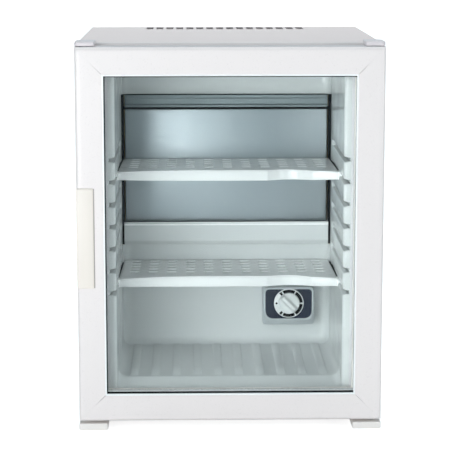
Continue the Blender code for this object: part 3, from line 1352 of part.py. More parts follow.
def make_cooling_unit():
    """The absorption unit: boiler, finned condenser, evaporator pipe, absorber and vessel."""
    half = JACKET_WIDTH / 2
    y_low, y_high = UNIT_Y - half, STRAP_FRONT - FIT
    left, right = BOILER_X - half, BOILER_X + half
    corners = [(left, y_low), (right, y_low), (right, y_high), (left, y_high)]
    outline = rounded(corners, [JACKET_ROUND] * 4, 3)
    jacket = prism("boiler_jacket", outline, "Z", JACKET_BOTTOM, JACKET_TOP, "galvanised")
    wall = JACKET_WALL
    low, high = (left + wall, y_low + wall), (right - wall, y_high - wall)
    corners = [low, (high[0], low[1]), high, (low[0], high[1])]
    inside = rounded(corners, [JACKET_ROUND - wall] * 4, 3)
    hollow = prism("jacket_hollow", inside, "Z", JACKET_BOTTOM - 0.01, JACKET_TOP - wall)
    axis = Vector((BOILER_X, UNIT_Y, 0))
    bore = rod("boiler_bore", BOILER_RADIUS + FIT, JACKET_BOTTOM, BOILER_TOP, axis, None, "Z", 20)
    heater_axis = axis + Vector((0, BOILER_RADIUS + HEATER_RADIUS + FIT, 0))
    heater_low = JACKET_BOTTOM - HEATER_SHOW
    heater_high = heater_low + HEATER_LENGTH
    cut(jacket, hollow, bore)
    rod("heater_cartridge", HEATER_RADIUS, heater_low, heater_high, heater_axis, "steel", "Z", 16, 0.001)
    rod("boiler_tube", BOILER_RADIUS, BOILER_BOTTOM, BOILER_TOP, axis, "black_pipe", "Z", 20, 0.001)

    start = (BOILER_X, UNIT_Y, BOILER_TOP + FIT)
    corner = (BOILER_X, UNIT_Y, CONDENSER_HEIGHT)
    end = (CONDENSER_END, UNIT_Y, CONDENSER_HEIGHT)
    condenser = tube("condenser", bent([start, corner, end], CONDENSER_BEND), CONDENSER_RADIUS, "black_pipe")
    fins = []
    for i in range(FIN_COUNT):
        x = FIN_FIRST + i * FIN_PITCH
        low = (x, UNIT_Y - FIN_SIZE / 2, CONDENSER_HEIGHT - FIN_SIZE / 2)
        high = (x + FIN_THICKNESS, UNIT_Y + FIN_SIZE / 2, CONDENSER_HEIGHT + FIN_SIZE / 2)
        fins.append((low, high))
    join(condenser, boxes("condenser_fins", fins))

    hairpin = bent(
        [
            (CONDENSER_END - FIT, UNIT_Y, CONDENSER_HEIGHT),
            (HAIRPIN_LEFT, UNIT_Y, CONDENSER_HEIGHT),
            (HAIRPIN_LEFT, UNIT_Y, EVAPORATOR_HIGH),
            (HAIRPIN_LEFT, EVAPORATOR_Y, EVAPORATOR_HIGH),
            (HAIRPIN_RIGHT, EVAPORATOR_Y, EVAPORATOR_HIGH),
            (HAIRPIN_RIGHT, EVAPORATOR_Y, EVAPORATOR_LOW),
            (TAIL_X, EVAPORATOR_Y, EVAPORATOR_LOW),
            (TAIL_X, UNIT_Y + COIL_BEND, EVAPORATOR_LOW),
            (TAIL_X, UNIT_Y + COIL_BEND, TAIL_TOP + FIT),
        ],
        PIPE_BEND,
    )
    tube("evaporator_tube", hairpin, EVAPORATOR_RADIUS, "galvanised")

    tube("absorber_coil", coil_route(), COIL_RADIUS, "black_pipe", 1)

    rod(
        "absorber_vessel",
        VESSEL_RADIUS,
        VESSEL_LEFT,
        VESSEL_RIGHT,
        (0, UNIT_Y, VESSEL_HEIGHT),
        "black_pipe",
        "X",
        20,
        0.006,
    )
    exchanger = bent(
        [
            (VESSEL_RIGHT + FIT, UNIT_Y, VESSEL_HEIGHT),
            (BOILER_X, UNIT_Y, VESSEL_HEIGHT),
            (BOILER_X, UNIT_Y, BOILER_BOTTOM - FIT),
        ],
        PIPE_BEND,
    )
    tube("heat_exchanger", exchanger, EXCHANGER_RADIUS, "black_pipe")

    lower_spots = (VESSEL_LEFT + SADDLE_INSET, VESSEL_RIGHT - SADDLE_INSET - SADDLE_WIDTH)
    upper_spots = (FIN_FIRST - SHEET, FIN_FIRST + (FIN_COUNT - 2) * FIN_PITCH - SHEET)
    straps = (
        ("lower_unit_strap", VESSEL_HEIGHT, lower_spots, UNIT_Y + VESSEL_RADIUS),
        ("upper_unit_strap", CONDENSER_HEIGHT, upper_spots, UNIT_Y + FIN_SIZE / 2),
    )
    strap_half = SIDE - SHEET - FIT
    for name, z, spots, touch in straps:
        strap = box(
            name,
            (-strap_half, STRAP_FRONT, z - STRAP_WIDTH / 2),
            (strap_half, STRAP_BACK, z + STRAP_WIDTH / 2),
            "galvanised",
        )
        blocks = []
        for x in spots:
            low = (x, touch + FIT, z - STRAP_WIDTH / 4)
            blocks.append((low, (x + SADDLE_WIDTH, STRAP_FRONT + STRAP / 2, z + STRAP_WIDTH / 4)))
        join(strap, boxes(name + "_saddles", blocks))

    width, depth, height = TERMINAL_SIZE
    low = (TERMINAL_X - width / 2, BACK_SHEET + FIT, TERMINAL_BOTTOM)
    high = (TERMINAL_X + width / 2, BACK_SHEET + FIT + depth, TERMINAL_BOTTOM + height)
    box("terminal_box", low, high, "black_plastic", 0.003, 2)
    gland_y = high[1] + FIT
    spot = (TERMINAL_X, 0, TERMINAL_BOTTOM + height / 2)
    inner, outer = -gland_y, -gland_y - GLAND_LENGTH
    profile = [
        (GLAND_BORE, inner),
        (GLAND_RADIUS, inner),
        (GLAND_RADIUS, inner - 0.003),
        (GLAND_RADIUS - 0.0015, inner - 0.0035),
        (GLAND_RADIUS - 0.0025, outer),
        (GLAND_BORE, outer),
        (GLAND_BORE, inner),
    ]
    turned("cord_gland", profile, spot, "black_plastic", "Y", 16)


def main():
    make_cabinet()
    make_foam_and_liner()
    make_evaporator()
    for name, groove in SHELF_GROOVES.items():
        make_shelf(name, groove)
    make_thermostat()
    make_door()
    make_hinges()
    make_feet()
    make_cooling_unit()


main()
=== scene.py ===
import bmesh
import bpy
import numpy as np
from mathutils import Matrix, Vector


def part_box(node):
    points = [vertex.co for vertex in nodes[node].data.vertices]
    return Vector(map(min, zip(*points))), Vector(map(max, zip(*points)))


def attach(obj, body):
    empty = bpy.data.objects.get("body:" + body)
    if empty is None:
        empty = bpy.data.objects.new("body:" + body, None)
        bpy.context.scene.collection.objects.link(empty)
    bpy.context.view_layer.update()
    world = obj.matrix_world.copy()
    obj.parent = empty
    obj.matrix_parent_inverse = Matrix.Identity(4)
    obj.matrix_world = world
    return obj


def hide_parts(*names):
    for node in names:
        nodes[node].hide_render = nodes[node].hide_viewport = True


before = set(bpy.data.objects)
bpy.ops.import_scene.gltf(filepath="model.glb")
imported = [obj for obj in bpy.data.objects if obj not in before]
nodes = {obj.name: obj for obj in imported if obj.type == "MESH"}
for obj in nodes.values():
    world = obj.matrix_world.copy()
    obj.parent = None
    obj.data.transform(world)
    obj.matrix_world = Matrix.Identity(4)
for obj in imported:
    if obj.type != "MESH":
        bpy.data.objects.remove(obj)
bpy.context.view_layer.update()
print("frame loaded,", len(nodes), "nodes")


def linear(hexColour):
    # sRGB to linear: c / 12.92 in the darks, ((c + 0.055) / 1.055) ^ 2.4 above
    c = np.array([int(hexColour[i:i + 2], 16) / 255 for i in (1, 3, 5)])
    return (*np.where(c <= 0.04045, c / 12.92, ((c + 0.055) / 1.055) ** 2.4), 1.0)


def addNode(tree, kind, inputs={}, **settings):
    # each input is a value, a socket, or a node whose first output is meant
    node = tree.nodes.new("ShaderNode" + kind)
    for key, value in settings.items():
        setattr(node, key, value)
    for key, value in inputs.items():
        if isinstance(value, bpy.types.Node):
            value = value.outputs[0]
        if isinstance(value, bpy.types.NodeSocket):
            tree.links.new(value, node.inputs[key])
        else:
            node.inputs[key].default_value = value
    return node


def pick(values, names):
    return [values[name] for name in names.split()]


def emptyTree(owner):
    owner.use_nodes = True
    owner.node_tree.nodes.clear()
    return owner.node_tree


def newFinish(name):
    # an empty material, its tree and Object coordinates
    material = bpy.data.materials.new(name)
    tree = emptyTree(material)
    return material, tree, addNode(tree, "TexCoord").outputs["Object"]


def closeFinish(tree, colour, rough, bump, sockets):
    shader = addNode(tree, "BsdfPrincipled", {"Base Color": colour.outputs[2], "Roughness": rough, "Normal": bump,
                                              **sockets})
    addNode(tree, "OutputMaterial", {"Surface": shader})


def surfaceFinish(name, first, second, cloud, grain, least, most, depth, more={}):
    # two noises in millimetres: a broad one shifts the colour, a fine one makes bump and roughness
    material, tree, coords = newFinish(name)
    stretch = addNode(tree, "Mapping", {"Vector": coords, "Scale": more.get("stretch", (1, 1, 1))})
    broad = addNode(tree, "TexNoise", {"Vector": coords, "Scale": 1000 / cloud, "Detail": 3})
    fine = addNode(tree, "TexNoise", {"Vector": stretch, "Scale": 1000 / grain, "Detail": 2})
    colour = addNode(tree, "Mix", {0: broad, 6: linear(first), 7: linear(second)}, data_type="RGBA")
    rough = addNode(tree, "MapRange", {"Value": fine, "From Min": 0.3, "From Max": 0.7, "To Min": least,
                                       "To Max": most})
    bump = addNode(tree, "Bump", {"Height": fine, "Strength": 0.5, "Distance": depth / 1000})
    closeFinish(tree, colour, rough, bump, {key: more[key] for key in more if key != "stretch"})
    return material


# two tones, size in mm of the colour's clouds and of the grain, least and most roughness, bump in mm, extras
looks = {
    # powder coat on sheet steel, with a faint orange peel
    "powderCoatedSteel": ("#EEDFDC", "#F1E3E0", 140, 1.6, 0.34, 0.44, 0.02),
    # extruded profile: smoother, so its long faces read as flat
    "extrudedDoorProfile": ("#ECE4E2", "#EEE6E4", 160, 2.0, 0.27, 0.31, 0.002),
    # soft vinyl in the brightest white, brighter than the profiles: the glazing bead's crisp line round the glass is
    # partly a painted highlight, and the same white paints highlights on the spacer's sill, the gutter's lip and the
    # shelves' noses
    "glazingBeadVinyl": ("#FBFBFB", "#FDFDFD", 60, 2.0, 0.20, 0.30, 0.01),
    # folded spacer bar: a matt grey that takes no highlight
    "spacerAluminium": ("#9EA6A6", "#A6AEAE", 40, 0.8, 0.45, 0.55, 0.02),
    # pale vinyl strip on the liner's glossy flange, paler than the liner: painted light on the flange
    "breakerStripVinyl": ("#E6EAEA", "#EBEEEE", 60, 1.2, 0.35, 0.45, 0.02),
    # lighter than the powder coat: a painted highlight as a thin line on the bent edge
    "panelEdgeCoat": ("#F8F0EE", "#FAF2F0", 70, 0.8, 0.4, 0.5, 0.03),
    # warm grey vinyl in a joint: a painted shadow line along the grip's inner edge
    "gripSeamVinyl": ("#A69C97", "#ACA29D", 60, 1.2, 0.5, 0.6, 0.02),
    # moulded cap: greyer and glossier than the panels
    "mouldedGreyCap": ("#DCD4D6", "#E2DADC", 60, 0.9, 0.30, 0.42, 0.03),
    # flat strip in a dull light grey: painted shade on the door's top face
    "greyCoverStrip": ("#CBC5C7", "#D1CBCD", 80, 1.5, 0.45, 0.55, 0.02),
    # moulded ABS: a fine spark-eroded grain breaks the highlights
    "mouldedWhiteAbs": ("#EBE5E1", "#EFEAE6", 60, 0.9, 0.36, 0.48, 0.04),
    # a warmer batch of ABS: looks ivory beside the white profile
    "mouldedIvoryAbs": ("#EDE3DA", "#F1E8DF", 50, 0.9, 0.34, 0.46, 0.03),
    # vacuum formed polystyrene: glossy, with slow waves in its skin
    "vacuumFormedLiner": ("#D5D8D8", "#DCDEDE", 90, 38, 0.14, 0.24, 0.25, {"stretch": (0.35, 1, 1.6)}),
    # injection moulded polystyrene: smooth and glossy, with soft flow marks
    "mouldedShelf": ("#E6E6E6", "#EBEBEB", 70, 14, 0.16, 0.26, 0.05),
    # anodised plate: its rolling grain draws the light out sideways
    "anodisedAluminium": ("#A2AAAE", "#ABB2B6", 80, 1.5, 0.30, 0.42, 0.02,
                          {"stretch": (0.05, 1, 1), "Metallic": 0.85}),
    # the same metal unpolished: darker and duller
    "dullAluminium": ("#7C8588", "#858E91", 70, 1.5, 0.42, 0.52, 0.02, {"stretch": (0.05, 1, 1), "Metallic": 0.7}),
    # blue-grey face: dark and matt behind the printed marks
    "mouldedSlateFace": ("#1C2334", "#262D3E", 30, 0.8, 0.42, 0.55, 0.02, {"Specular IOR Level": 0.25}),
    # half gloss, so the housing's rolled rim shows against the wall
    "mouldedHousingGrey": ("#B6BBBE", "#BEC3C6", 40, 0.9, 0.28, 0.38, 0.03),
    # light grey with a satin skin
    "mouldedDialGrey": ("#D8DADA", "#E0E2E2", 25, 0.8, 0.30, 0.42, 0.02),
    # pad printing ink: a flat black without sheen
    "dialPrintBlack": ("#040406", "#08080A", 10, 0.6, 0.55, 0.70, 0.01, {"Specular IOR Level": 0.1}),
    # butyl and EPDM: matt black, slightly chalky; the same black paints the deep shade round the cold plate and beside
    # the shelves
    "blackButylSeal": ("#060708", "#0C0D0E", 30, 1.2, 0.65, 0.80, 0.03, {"Specular IOR Level": 0.15}),
    # soft vinyl: dull, a little uneven where it was squeezed
    "softVinylGasket": ("#D2D0D3", "#D8D6D9", 60, 2.0, 0.50, 0.62, 0.04),
    # polyurethane foam as it rose: open, warm and dry
    "polyurethaneFoam": ("#D9C79A", "#E6D7AE", 25, 1.8, 0.85, 0.98, 0.5),
    # stove enamelled steel pipe: black, half gloss, a little dusty
    "stoveEnamelledPipe": ("#17181A", "#222426", 40, 2.2, 0.38, 0.60, 0.06),
    # bright zinc on small steel parts: metallic, with cloudy patches
    "zincPlatedSteel": ("#B9BCBE", "#C6C8C8", 18, 1.0, 0.24, 0.38, 0.02, {"Metallic": 1.0}),
    # filled polyamide: a dry near-black with fine grain
    "mouldedBlackPolyamide": ("#1B1C1E", "#242527", 30, 0.9, 0.46, 0.60, 0.05),
}
finishes = {name: surfaceFinish(name, *look) for name, look in looks.items()}

galvanised = {"crystal": 9, "dark": "#9EA4A7", "pale": "#BCC1C3", "least": 0.34, "most": 0.52, "step": 0.00005,
              "metal": 0.9}
glass = {"haze": 120, "rough": 0.012, "bend": 1.45, "tint": "#FCFEFE", "sheen": 0.05,
         "mirror": (0.15, 0.16, 0.17, 1)}


def galvanisedSheet(name):
    # hot dip zinc: flat crystals some millimetres across, each with its own grey and gloss
    material, tree, coords = newFinish(name)
    size, dark, pale, least, most, step, metal = pick(galvanised, "crystal dark pale least most step metal")
    crystal = addNode(tree, "TexVoronoi", {"Vector": coords, "Scale": 1000 / size, "Randomness": 1.0})
    tone = addNode(tree, "SeparateColor", {"Color": crystal.outputs["Color"]})
    colour = addNode(tree, "Mix", {0: tone, 6: linear(dark), 7: linear(pale)}, data_type="RGBA")
    rough = addNode(tree, "MapRange", {"Value": tone, "To Min": least, "To Max": most})
    bump = addNode(tree, "Bump", {"Height": tone, "Strength": 0.3, "Distance": step})
    closeFinish(tree, colour, rough, bump, {"Metallic": metal})
    return material


def floatGlass(name):
    # clear panes, faintly green, that hardly mirror the room; shadow rays pass, so the inside stays lit
    material, tree, coords = newFinish(name)
    haze = addNode(tree, "TexNoise", {"Vector": coords, "Scale": 1000 / glass["haze"], "Detail": 1})
    rough = addNode(tree, "MapRange", {"Value": haze, "To Min": 0.0, "To Max": glass["rough"]})
    pane = addNode(tree, "BsdfPrincipled", {
        "Base Color": linear(glass["tint"]), "Roughness": rough, "Transmission Weight": 1.0, "IOR": glass["bend"],
        "Specular IOR Level": glass["sheen"], "Specular Tint": glass["mirror"]})
    clear = addNode(tree, "BsdfTransparent", {"Color": linear(glass["tint"])})
    shadowRay = addNode(tree, "LightPath").outputs["Is Shadow Ray"]
    addNode(tree, "OutputMaterial", {"Surface": addNode(tree, "MixShader", {0: shadowRay, 1: pane, 2: clear})})
    return material


finishes["hotDipGalvanisedSheet"] = galvanisedSheet("hotDipGalvanisedSheet")
for name in ("outerFloatGlass", "innerFloatGlass"):
    finishes[name] = floatGlass(name)
print("finishes made,", len(finishes))

keptNodes = {
    "powderCoatedSteel": ["left_side_panel", "right_side_panel", "top_panel", "base_panel"],
    "mouldedWhiteAbs": ["left_rear_foot", "right_rear_foot", "lower_hinge_bush", "upper_hinge_bush",
                        "door_inner_frame"],
    "polyurethaneFoam": ["foam_insulation"],
    "stoveEnamelledPipe": ["absorber_coil", "absorber_vessel", "boiler_tube", "condenser", "heat_exchanger"],
    "zincPlatedSteel": ["heater_cartridge", "thermostat_shaft", "lower_hinge_pin", "upper_hinge_pin",
                        "upper_hinge_bracket"],
    "mouldedBlackPolyamide": ["terminal_box", "cord_gland", "drain_tube"],
    "hotDipGalvanisedSheet": ["back_sheet", "boiler_jacket", "evaporator_tube", "upper_unit_strap",
                              "lower_unit_strap"],
    "outerFloatGlass": ["outer_pane"],
    "innerFloatGlass": ["inner_pane"],
}
for finish, names in keptNodes.items():
    for name in names:
        for slot in nodes[name].material_slots:
            slot.material = finishes[finish]


def putMesh(name, points, faces, finish, closed=True, sharpAngle=35):
    mesh = bpy.data.meshes.new(name)
    mesh.from_pydata(np.asarray(points, float).reshape(-1, 3).tolist(), [], faces)
    work = bmesh.new()
    work.from_mesh(mesh)
    bmesh.ops.remove_doubles(work, verts=work.verts, dist=2e-6)
    if closed:
        bmesh.ops.recalc_face_normals(work, faces=work.faces)
    work.to_mesh(mesh)
    work.free()
    mesh.materials.append(finishes[finish])
    mesh.shade_smooth()
    mesh.set_sharp_from_angle(angle=np.radians(sharpAngle))
    piece = bpy.data.objects.new(name, mesh)
    bpy.context.scene.collection.objects.link(piece)
    return piece


def addPiece(name, parts, finish, body, replaced=(), closed=True, sharpAngle=35):
    # several (points, faces) as one mesh that moves with its body and takes the place of the replaced nodes
    piece = putMesh(name, *joined(parts), finish, closed, sharpAngle)
    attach(piece, body)
    if replaced:
        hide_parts(*replaced)
    return piece


def thicken(piece, thickness, offset):
    sheet = piece.modifiers.new("sheet thickness", "SOLIDIFY")
    sheet.thickness = thickness
    sheet.offset = offset


def joined(parts):
    # each part's faces are counted on from the last
    points, faces, first = [], [], 0
    for somePoints, someFaces in parts:
        flat = np.asarray(somePoints, float).reshape(-1, 3)
        points.append(flat)
        faces += [[k + first for k in face] for face in someFaces]
        first += len(flat)
    return np.concatenate(points), faces


def gridFaces(rows, columns, keep=None, flip=False):
    # cell (i, j) of a grid of points becomes one four-sided face, unless keep leaves it out
    corner = np.arange(rows - 1)[:, None] * columns + np.arange(columns - 1)
    cells = np.stack([corner, corner + 1, corner + columns + 1, corner + columns], -1)[..., ::-1 if flip else 1]
    return (cells[keep] if keep is not None else cells.reshape(-1, 4)).tolist()


def loftFaces(count, around, ringClosed=False):
    # neighbouring loops of points are joined all the way round; open lofts end in flat caps
    i = np.arange(count if ringClosed else count - 1)[:, None]
    j = np.arange(around)[None]
    after, beside = (i + 1) % count, (j + 1) % around
    faces = np.stack([i * around + j, i * around + beside, after * around + beside, after * around + j], -1)
    last = (count - 1) * around
    caps = [] if ringClosed else [list(range(around))[::-1], list(range(last, last + around))]
    return faces.reshape(-1, 4).tolist() + caps


def roundedLoop(low, high, radii, steps=6):
    # a rectangle whose corners are quarter circles: centre + radius * (cos a, sin a)
    r = np.broadcast_to(np.asarray(radii, float), 4)
    a = np.array([1.0, 1.5, 0.0, 0.5])[:, None] * np.pi + np.linspace(0, np.pi / 2, steps + 1)
    centre = np.array([[low[0] + r[0], low[1] + r[0]], [high[0] - r[1], low[1] + r[1]],
                       [high[0] - r[2], high[1] - r[2]], [low[0] + r[3], high[1] - r[3]]])
    return (centre[:, None] + r[:, None, None] * np.stack([np.cos(a), np.sin(a)], -1)).reshape(-1, 2)


def sectionShape(axis, sections, steps=5):
    # rounded rectangles (depth, low, high, radii) one after another along an axis, capped at both ends
    across = [k for k in range(3) if k != axis]
    loops = np.empty((len(sections), 4 * (steps + 1), 3))
    for loop, (depth, low, high, radii) in zip(loops, sections):
        loop[:, across] = roundedLoop(low, high, radii, steps)
        loop[:, axis] = depth
    return loops, loftFaces(*loops.shape[:2])


def rolled(low, high, radii, inset):
    # the same rectangle, smaller by inset on every side
    return [v + inset for v in low], [v - inset for v in high], np.maximum(np.asarray(radii) - inset, 0.0002)


def rolledEnd(start, edge, section, closing=False, steps=5):
    # quarter circle from the tip at start, inwards for a positive edge: inset = e (1 - sin a), depth = e (1 - cos a)
    ends = [(start + edge * (1 - np.cos(v)), *rolled(*section, abs(edge) * (1 - np.sin(v))))
            for v in np.linspace(0, np.pi / 2, steps)]
    return ends[::-1] if closing else ends


def blockShape(low, high, axis, corner, edge, steps=4):
    across = [k for k in range(3) if k != axis]
    section = [low[k] for k in across], [high[k] for k in across], corner
    ends = rolledEnd(low[axis], edge, section) + rolledEnd(high[axis], -edge, section, True)
    return sectionShape(axis, ends, steps)


def sideBlock(side, low, high, axis, corner, edge):
    # a block described for the right side, mirrored where side is -1
    xLow, xHigh = sorted((side * low[0], side * high[0]))
    return blockShape((xLow, *low[1:]), (xHigh, *high[1:]), axis, corner, edge)


def barShape(outline, left, right):
    # a closed outline of (y, z) carried straight across
    outline = np.asarray(outline, float)
    loops = np.array([np.insert(outline, 0, x, axis=1) for x in (left, right)])
    return loops, loftFaces(2, len(outline))


def roundedOutline(corners, radius, steps=4):
    # each corner of a closed outline becomes a curve: (1 - s)^2 a + 2 s (1 - s) corner + s^2 b
    p = np.asarray(corners, float)
    before, after = np.roll(p, 1, 0) - p, np.roll(p, -1, 0) - p
    r = np.broadcast_to(np.asarray(radius, float), len(p))[:, None]
    a = p + before / np.linalg.norm(before, axis=1, keepdims=True) * r
    b = p + after / np.linalg.norm(after, axis=1, keepdims=True) * r
    s = np.linspace(0, 1, steps + 1)[None, :, None]
    return ((1 - s) ** 2 * a[:, None] + 2 * s * (1 - s) * p[:, None] + s ** 2 * b[:, None]).reshape(-1, 2)


def boxOutline(low, high, spots, radius, steps=4):
    # corners as near or far side (0, 1), low or high side (0, 1) and the way (y, z) from there in mm
    ends = np.array([low, high])
    return roundedOutline([(ends[j, 0] + y / 1000, ends[k, 1] + z / 1000) for j, k, y, z in spots], radius, steps)


def smoothStep(t):
    # S(t) = t^2 (3 - 2 t), held at 0 and 1 outside
    t = np.clip(t, 0, 1)
    return t * t * (3 - 2 * t)


def centred(pitch, count):
    return pitch * (np.arange(count) - (count - 1) / 2)


door = {
    "width": 0.037,  # face of each profile
    "edgeRound": 0.0045,
    "bevel": 0.0025,  # glazing lip, 45 degrees
    "lip": 0.0037,
    "heel": 0.024,
    "depth": 0.038,
    "chamfer": 0.0015,
    "mitreGap": 0.00005,
    "mitreOpen": 0.00030, "openFrom": 0.021, "openOver": 0.010,  # where the joint has opened towards the glass
}
bead = {"inset": 0.0345, "width": 0.0027, "height": 0.0022, "rise": 0.0007, "depth": 0.0012}
railStrip = {"end": 0.006, "front": 0.0055, "back": 0.0365, "sunk": 0.0004, "proud": 0.0003}
doorLow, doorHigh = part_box("door_profile_left")[0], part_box("door_profile_right")[1]
left, right, bottom, top = doorLow.x, doorHigh.x, doorLow.z, doorHigh.z
doorSides = {  # node, corners where the side starts and ends, direction outwards, all in (x, z)
    "doorRailTop": ("door_profile_top", (right, top), (left, top), (0, 1)),
    "doorRailBottom": ("door_profile_bottom", (left, bottom), (right, bottom), (0, -1)),
    "doorStileLeft": ("door_profile_left", (left, top), (left, bottom), (-1, 0)),
    "doorStileRight": ("door_profile_right", (right, bottom), (right, top), (1, 0)),
}


def mitredBar(outline, front, start, end, outward, opened=0):
    # the outline runs from corner to corner; each end is cut at 45 degrees, so point (u, v) starts u further in
    a, b, outward = np.array(start, float), np.array(end, float), np.array(outward)
    run = (b - a) / np.linalg.norm(b - a)
    reach = run * (outline[:, 0] + opened)[:, None]
    spots = [a - outward * outline[:, :1] + reach, b - outward * outline[:, :1] - reach]
    loops = np.array([np.stack([s[:, 0], front + outline[:, 1], s[:, 1]], -1) for s in spots])
    return loops, loftFaces(2, len(outline))


def makeDoorProfiles():
    # outline (inset from the door's edge, depth): rounded nose, flat face, bevelled lip, rebate and back
    w, r, b, deep, cut = pick(door, "width edgeRound bevel depth chamfer")
    a = np.linspace(np.pi, 1.5 * np.pi, 9)
    nose = np.stack([r + r * np.cos(a), r + r * np.sin(a)], -1)
    face = np.stack([np.linspace(r, w - b, 8)[1:], np.zeros(7)], -1)
    rest = np.array([[w - 0.0004, b - 0.0003], [w, b], [w, door["lip"]], [door["heel"], door["lip"]],
                     [door["heel"], deep], [cut, deep], [0, deep - cut]])
    outline = np.concatenate([nose, face, rest])
    opened = door["mitreGap"] + door["mitreOpen"] * smoothStep((outline[:, 0] - door["openFrom"]) / door["openOver"])
    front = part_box("door_profile_top")[0].y
    for name, (node, *ends) in doorSides.items():
        addPiece(name, [mitredBar(outline, front, *ends, opened)], "extrudedDoorProfile", "door",
                 [node])


def makeGlazingBead():
    # a half-round lip that closes the profiles onto the glass, mitred like them
    a = np.linspace(0, np.pi, 9)
    inset, width, height, rise = pick(bead, "inset width height rise")
    lip = np.stack([inset + width / 2 * (1 - np.cos(a)), -rise * np.sin(a)], -1)
    outline = np.concatenate([lip, [[inset + width, height], [inset, height]]])
    parts = [mitredBar(outline, doorLow.y + bead["depth"], *ends) for node, *ends in doorSides.values()]
    addPiece("glazingBead", parts, "glazingBeadVinyl", "door")


def makeTopRailStrip():
    # a grey strip along the top rail's upper face: painted shade on the door's top
    s, y = railStrip, doorLow.y
    strip = blockShape((left + s["end"], y + s["front"], top - s["sunk"]),
                       (right - s["end"], y + s["back"], top + s["proud"]), 0, 0.0003, 0.0002)
    addPiece("topRailShadeStrip", [strip], "greyCoverStrip", "door")


makeDoorProfiles()
makeGlazingBead()
makeTopRailStrip()
print("door profiles made")

grip = {"corner": 0.0022, "edge": 0.0016, "wall": 0.005, "cupCorner": 0.004, "cupEnd": 0.002, "cupRound": 0.003}
gripShadowLine = {"width": 0.0013, "lap": 0.0002, "proud": 0.0003, "deep": 0.0012, "end": 0.0005}


def makeGrip():
    # a cup on its side: rounded rectangles in (y, z) run from the right end to the open left mouth and back in
    low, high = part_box("door_handle")
    w, e, corner, cup = pick(grip, "wall edge corner cupCorner")
    outer = (low.y, low.z), (high.y, high.z), corner
    inner = (low.y + w * 0.7, low.z + w + grip["cupEnd"]), (high.y - w * 0.5, high.z - w - grip["cupEnd"]), cup
    sections = rolledEnd(high.x, -e, outer) + rolledEnd(low.x, e, outer, True)
    sections += [(low.x + 0.0003, *rolled(*inner, -0.0003)), (low.x + 0.001, *inner),
                 (high.x - w - grip["cupRound"], *inner), (high.x - w - 0.0009, *rolled(*inner, 0.0009)),
                 (high.x - w, *rolled(*inner, grip["cupRound"]))]
    addPiece("doorGrip", [sectionShape(0, sections)], "mouldedIvoryAbs", "door", ["door_handle"])


def makeGripShadowLine():
    # grey strip where the grip's inner edge meets the profile: a painted shadow line
    low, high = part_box("door_handle")
    s, y = gripShadowLine, doorLow.y
    seam = blockShape((high.x - s["lap"], y - s["proud"], low.z + s["end"]),
                      (high.x + s["width"], y + s["deep"], high.z - s["end"]), 2, 0.0003, 0.0002)
    addPiece("gripShadowLine", [seam], "gripSeamVinyl", "door")


makeGrip()
makeGripShadowLine()

# four bars between the panes, a butyl line against each pane; the unit sits a little to the right in its frame
spacer = {"outer": 0.1715, "left": -0.1626, "right": 0.1646, "top": 0.4718, "sill": 0.0530, "inset": 0.0006,
          "butyl": 0.0007}
gasket = {
    # inset from the outer edge and share of the depth: foot, bellows waist and magnet bulb
    "outline": ((0.001, 0), (0.013, 0), (0.0135, 0.12), (0.0115, 0.22), (0.0135, 0.34), (0.0138, 0.80),
                (0.0130, 0.96), (0.0110, 1.0), (0.0030, 1.0), (0.0010, 0.96), (0.0002, 0.80), (0.0005, 0.34),
                (0.0025, 0.22), (0.0005, 0.12)),
    "finStart": 0.0132, "finLength": 0.0112, "finDepth": 0.55, "finCurl": 0.0022, "finEnd": 0.014,
}


def makeSpacer():
    low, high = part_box("glazing_spacer")
    out, x0, x1, sill = pick(spacer, "outer left right sill")
    bars = [((-out, low.z), (x0, high.z), 2), ((x1, low.z), (out, high.z), 2),
            ((x0, spacer["top"]), (x1, high.z), 0), ((x0, low.z), (x1, sill), 0)]
    middle = [(low.y + spacer["inset"], high.y - spacer["inset"])]
    faces = [(low.y, low.y + spacer["butyl"]), (high.y - spacer["butyl"], high.y)]
    for name, some, layers, finish, replaced in (
            ("spacerBars", bars[:3], middle, "spacerAluminium", ["glazing_spacer"]),
            # the bottom bar is the same spacer as the side bars, drawn in white: a painted highlight on its upward
            # face
            ("spacerSillHighlight", bars[3:], middle, "glazingBeadVinyl", ()),
            ("spacerButyl", bars, faces, "blackButylSeal", ())):
        parts = [blockShape((a[0], near, a[1]), (b[0], far, b[1]), axis, 0.0002, 0.0001)
                 for a, b, axis in some for near, far in layers]
        addPiece(name, parts, finish, "door", replaced)


def makeGasket():
    low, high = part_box("door_gasket")
    y, deep = low.y, high.y - low.y
    outline = np.array(gasket["outline"])
    corners = np.array([[low.x, high.z], [low.x, low.z], [high.x, low.z], [high.x, high.z]])
    inward = np.array([[1, -1], [1, 1], [-1, 1], [-1, -1]])
    flat = corners[:, None] + inward[:, None] * outline[None, :, :1]
    depth = np.broadcast_to(y + deep * outline[:, 1], flat.shape[:2])
    parts = [(np.stack([flat[..., 0], depth, flat[..., 1]], -1), loftFaces(4, len(outline), True))]
    # sealing fin at each side: a thin lip, curled back a little towards the cabinet
    s = np.linspace(0, 1, 7)
    for side in (-1, 1):
        x = side * (high.x - gasket["finStart"] - gasket["finLength"] * s)
        fin = y + deep * gasket["finDepth"] + gasket["finCurl"] * s ** 2
        lip = np.concatenate([np.stack([x, fin - 0.0004], -1), np.stack([x, fin + 0.0005], -1)[::-1]])
        heights = low.z + gasket["finEnd"], high.z - gasket["finEnd"]
        loops = np.array([np.insert(lip, 2, z, axis=1) for z in heights])
        parts.append((loops, loftFaces(2, len(lip))))
    addPiece("doorGasket", parts, "softVinylGasket", "door", ["door_gasket"])


makeSpacer()
makeGasket()
print("grip, spacer and gasket made")

cap = {"nose": 0.0065, "corner": 0.0015, "under": 0.0014, "topRound": 0.0017, "dent": 0.0046}
foot = {"inner": 0.0018, "outer": 0.0007, "toeTop": 0.0096, "heel": -0.140, "lift": 0.0137, "web": 0.0012}


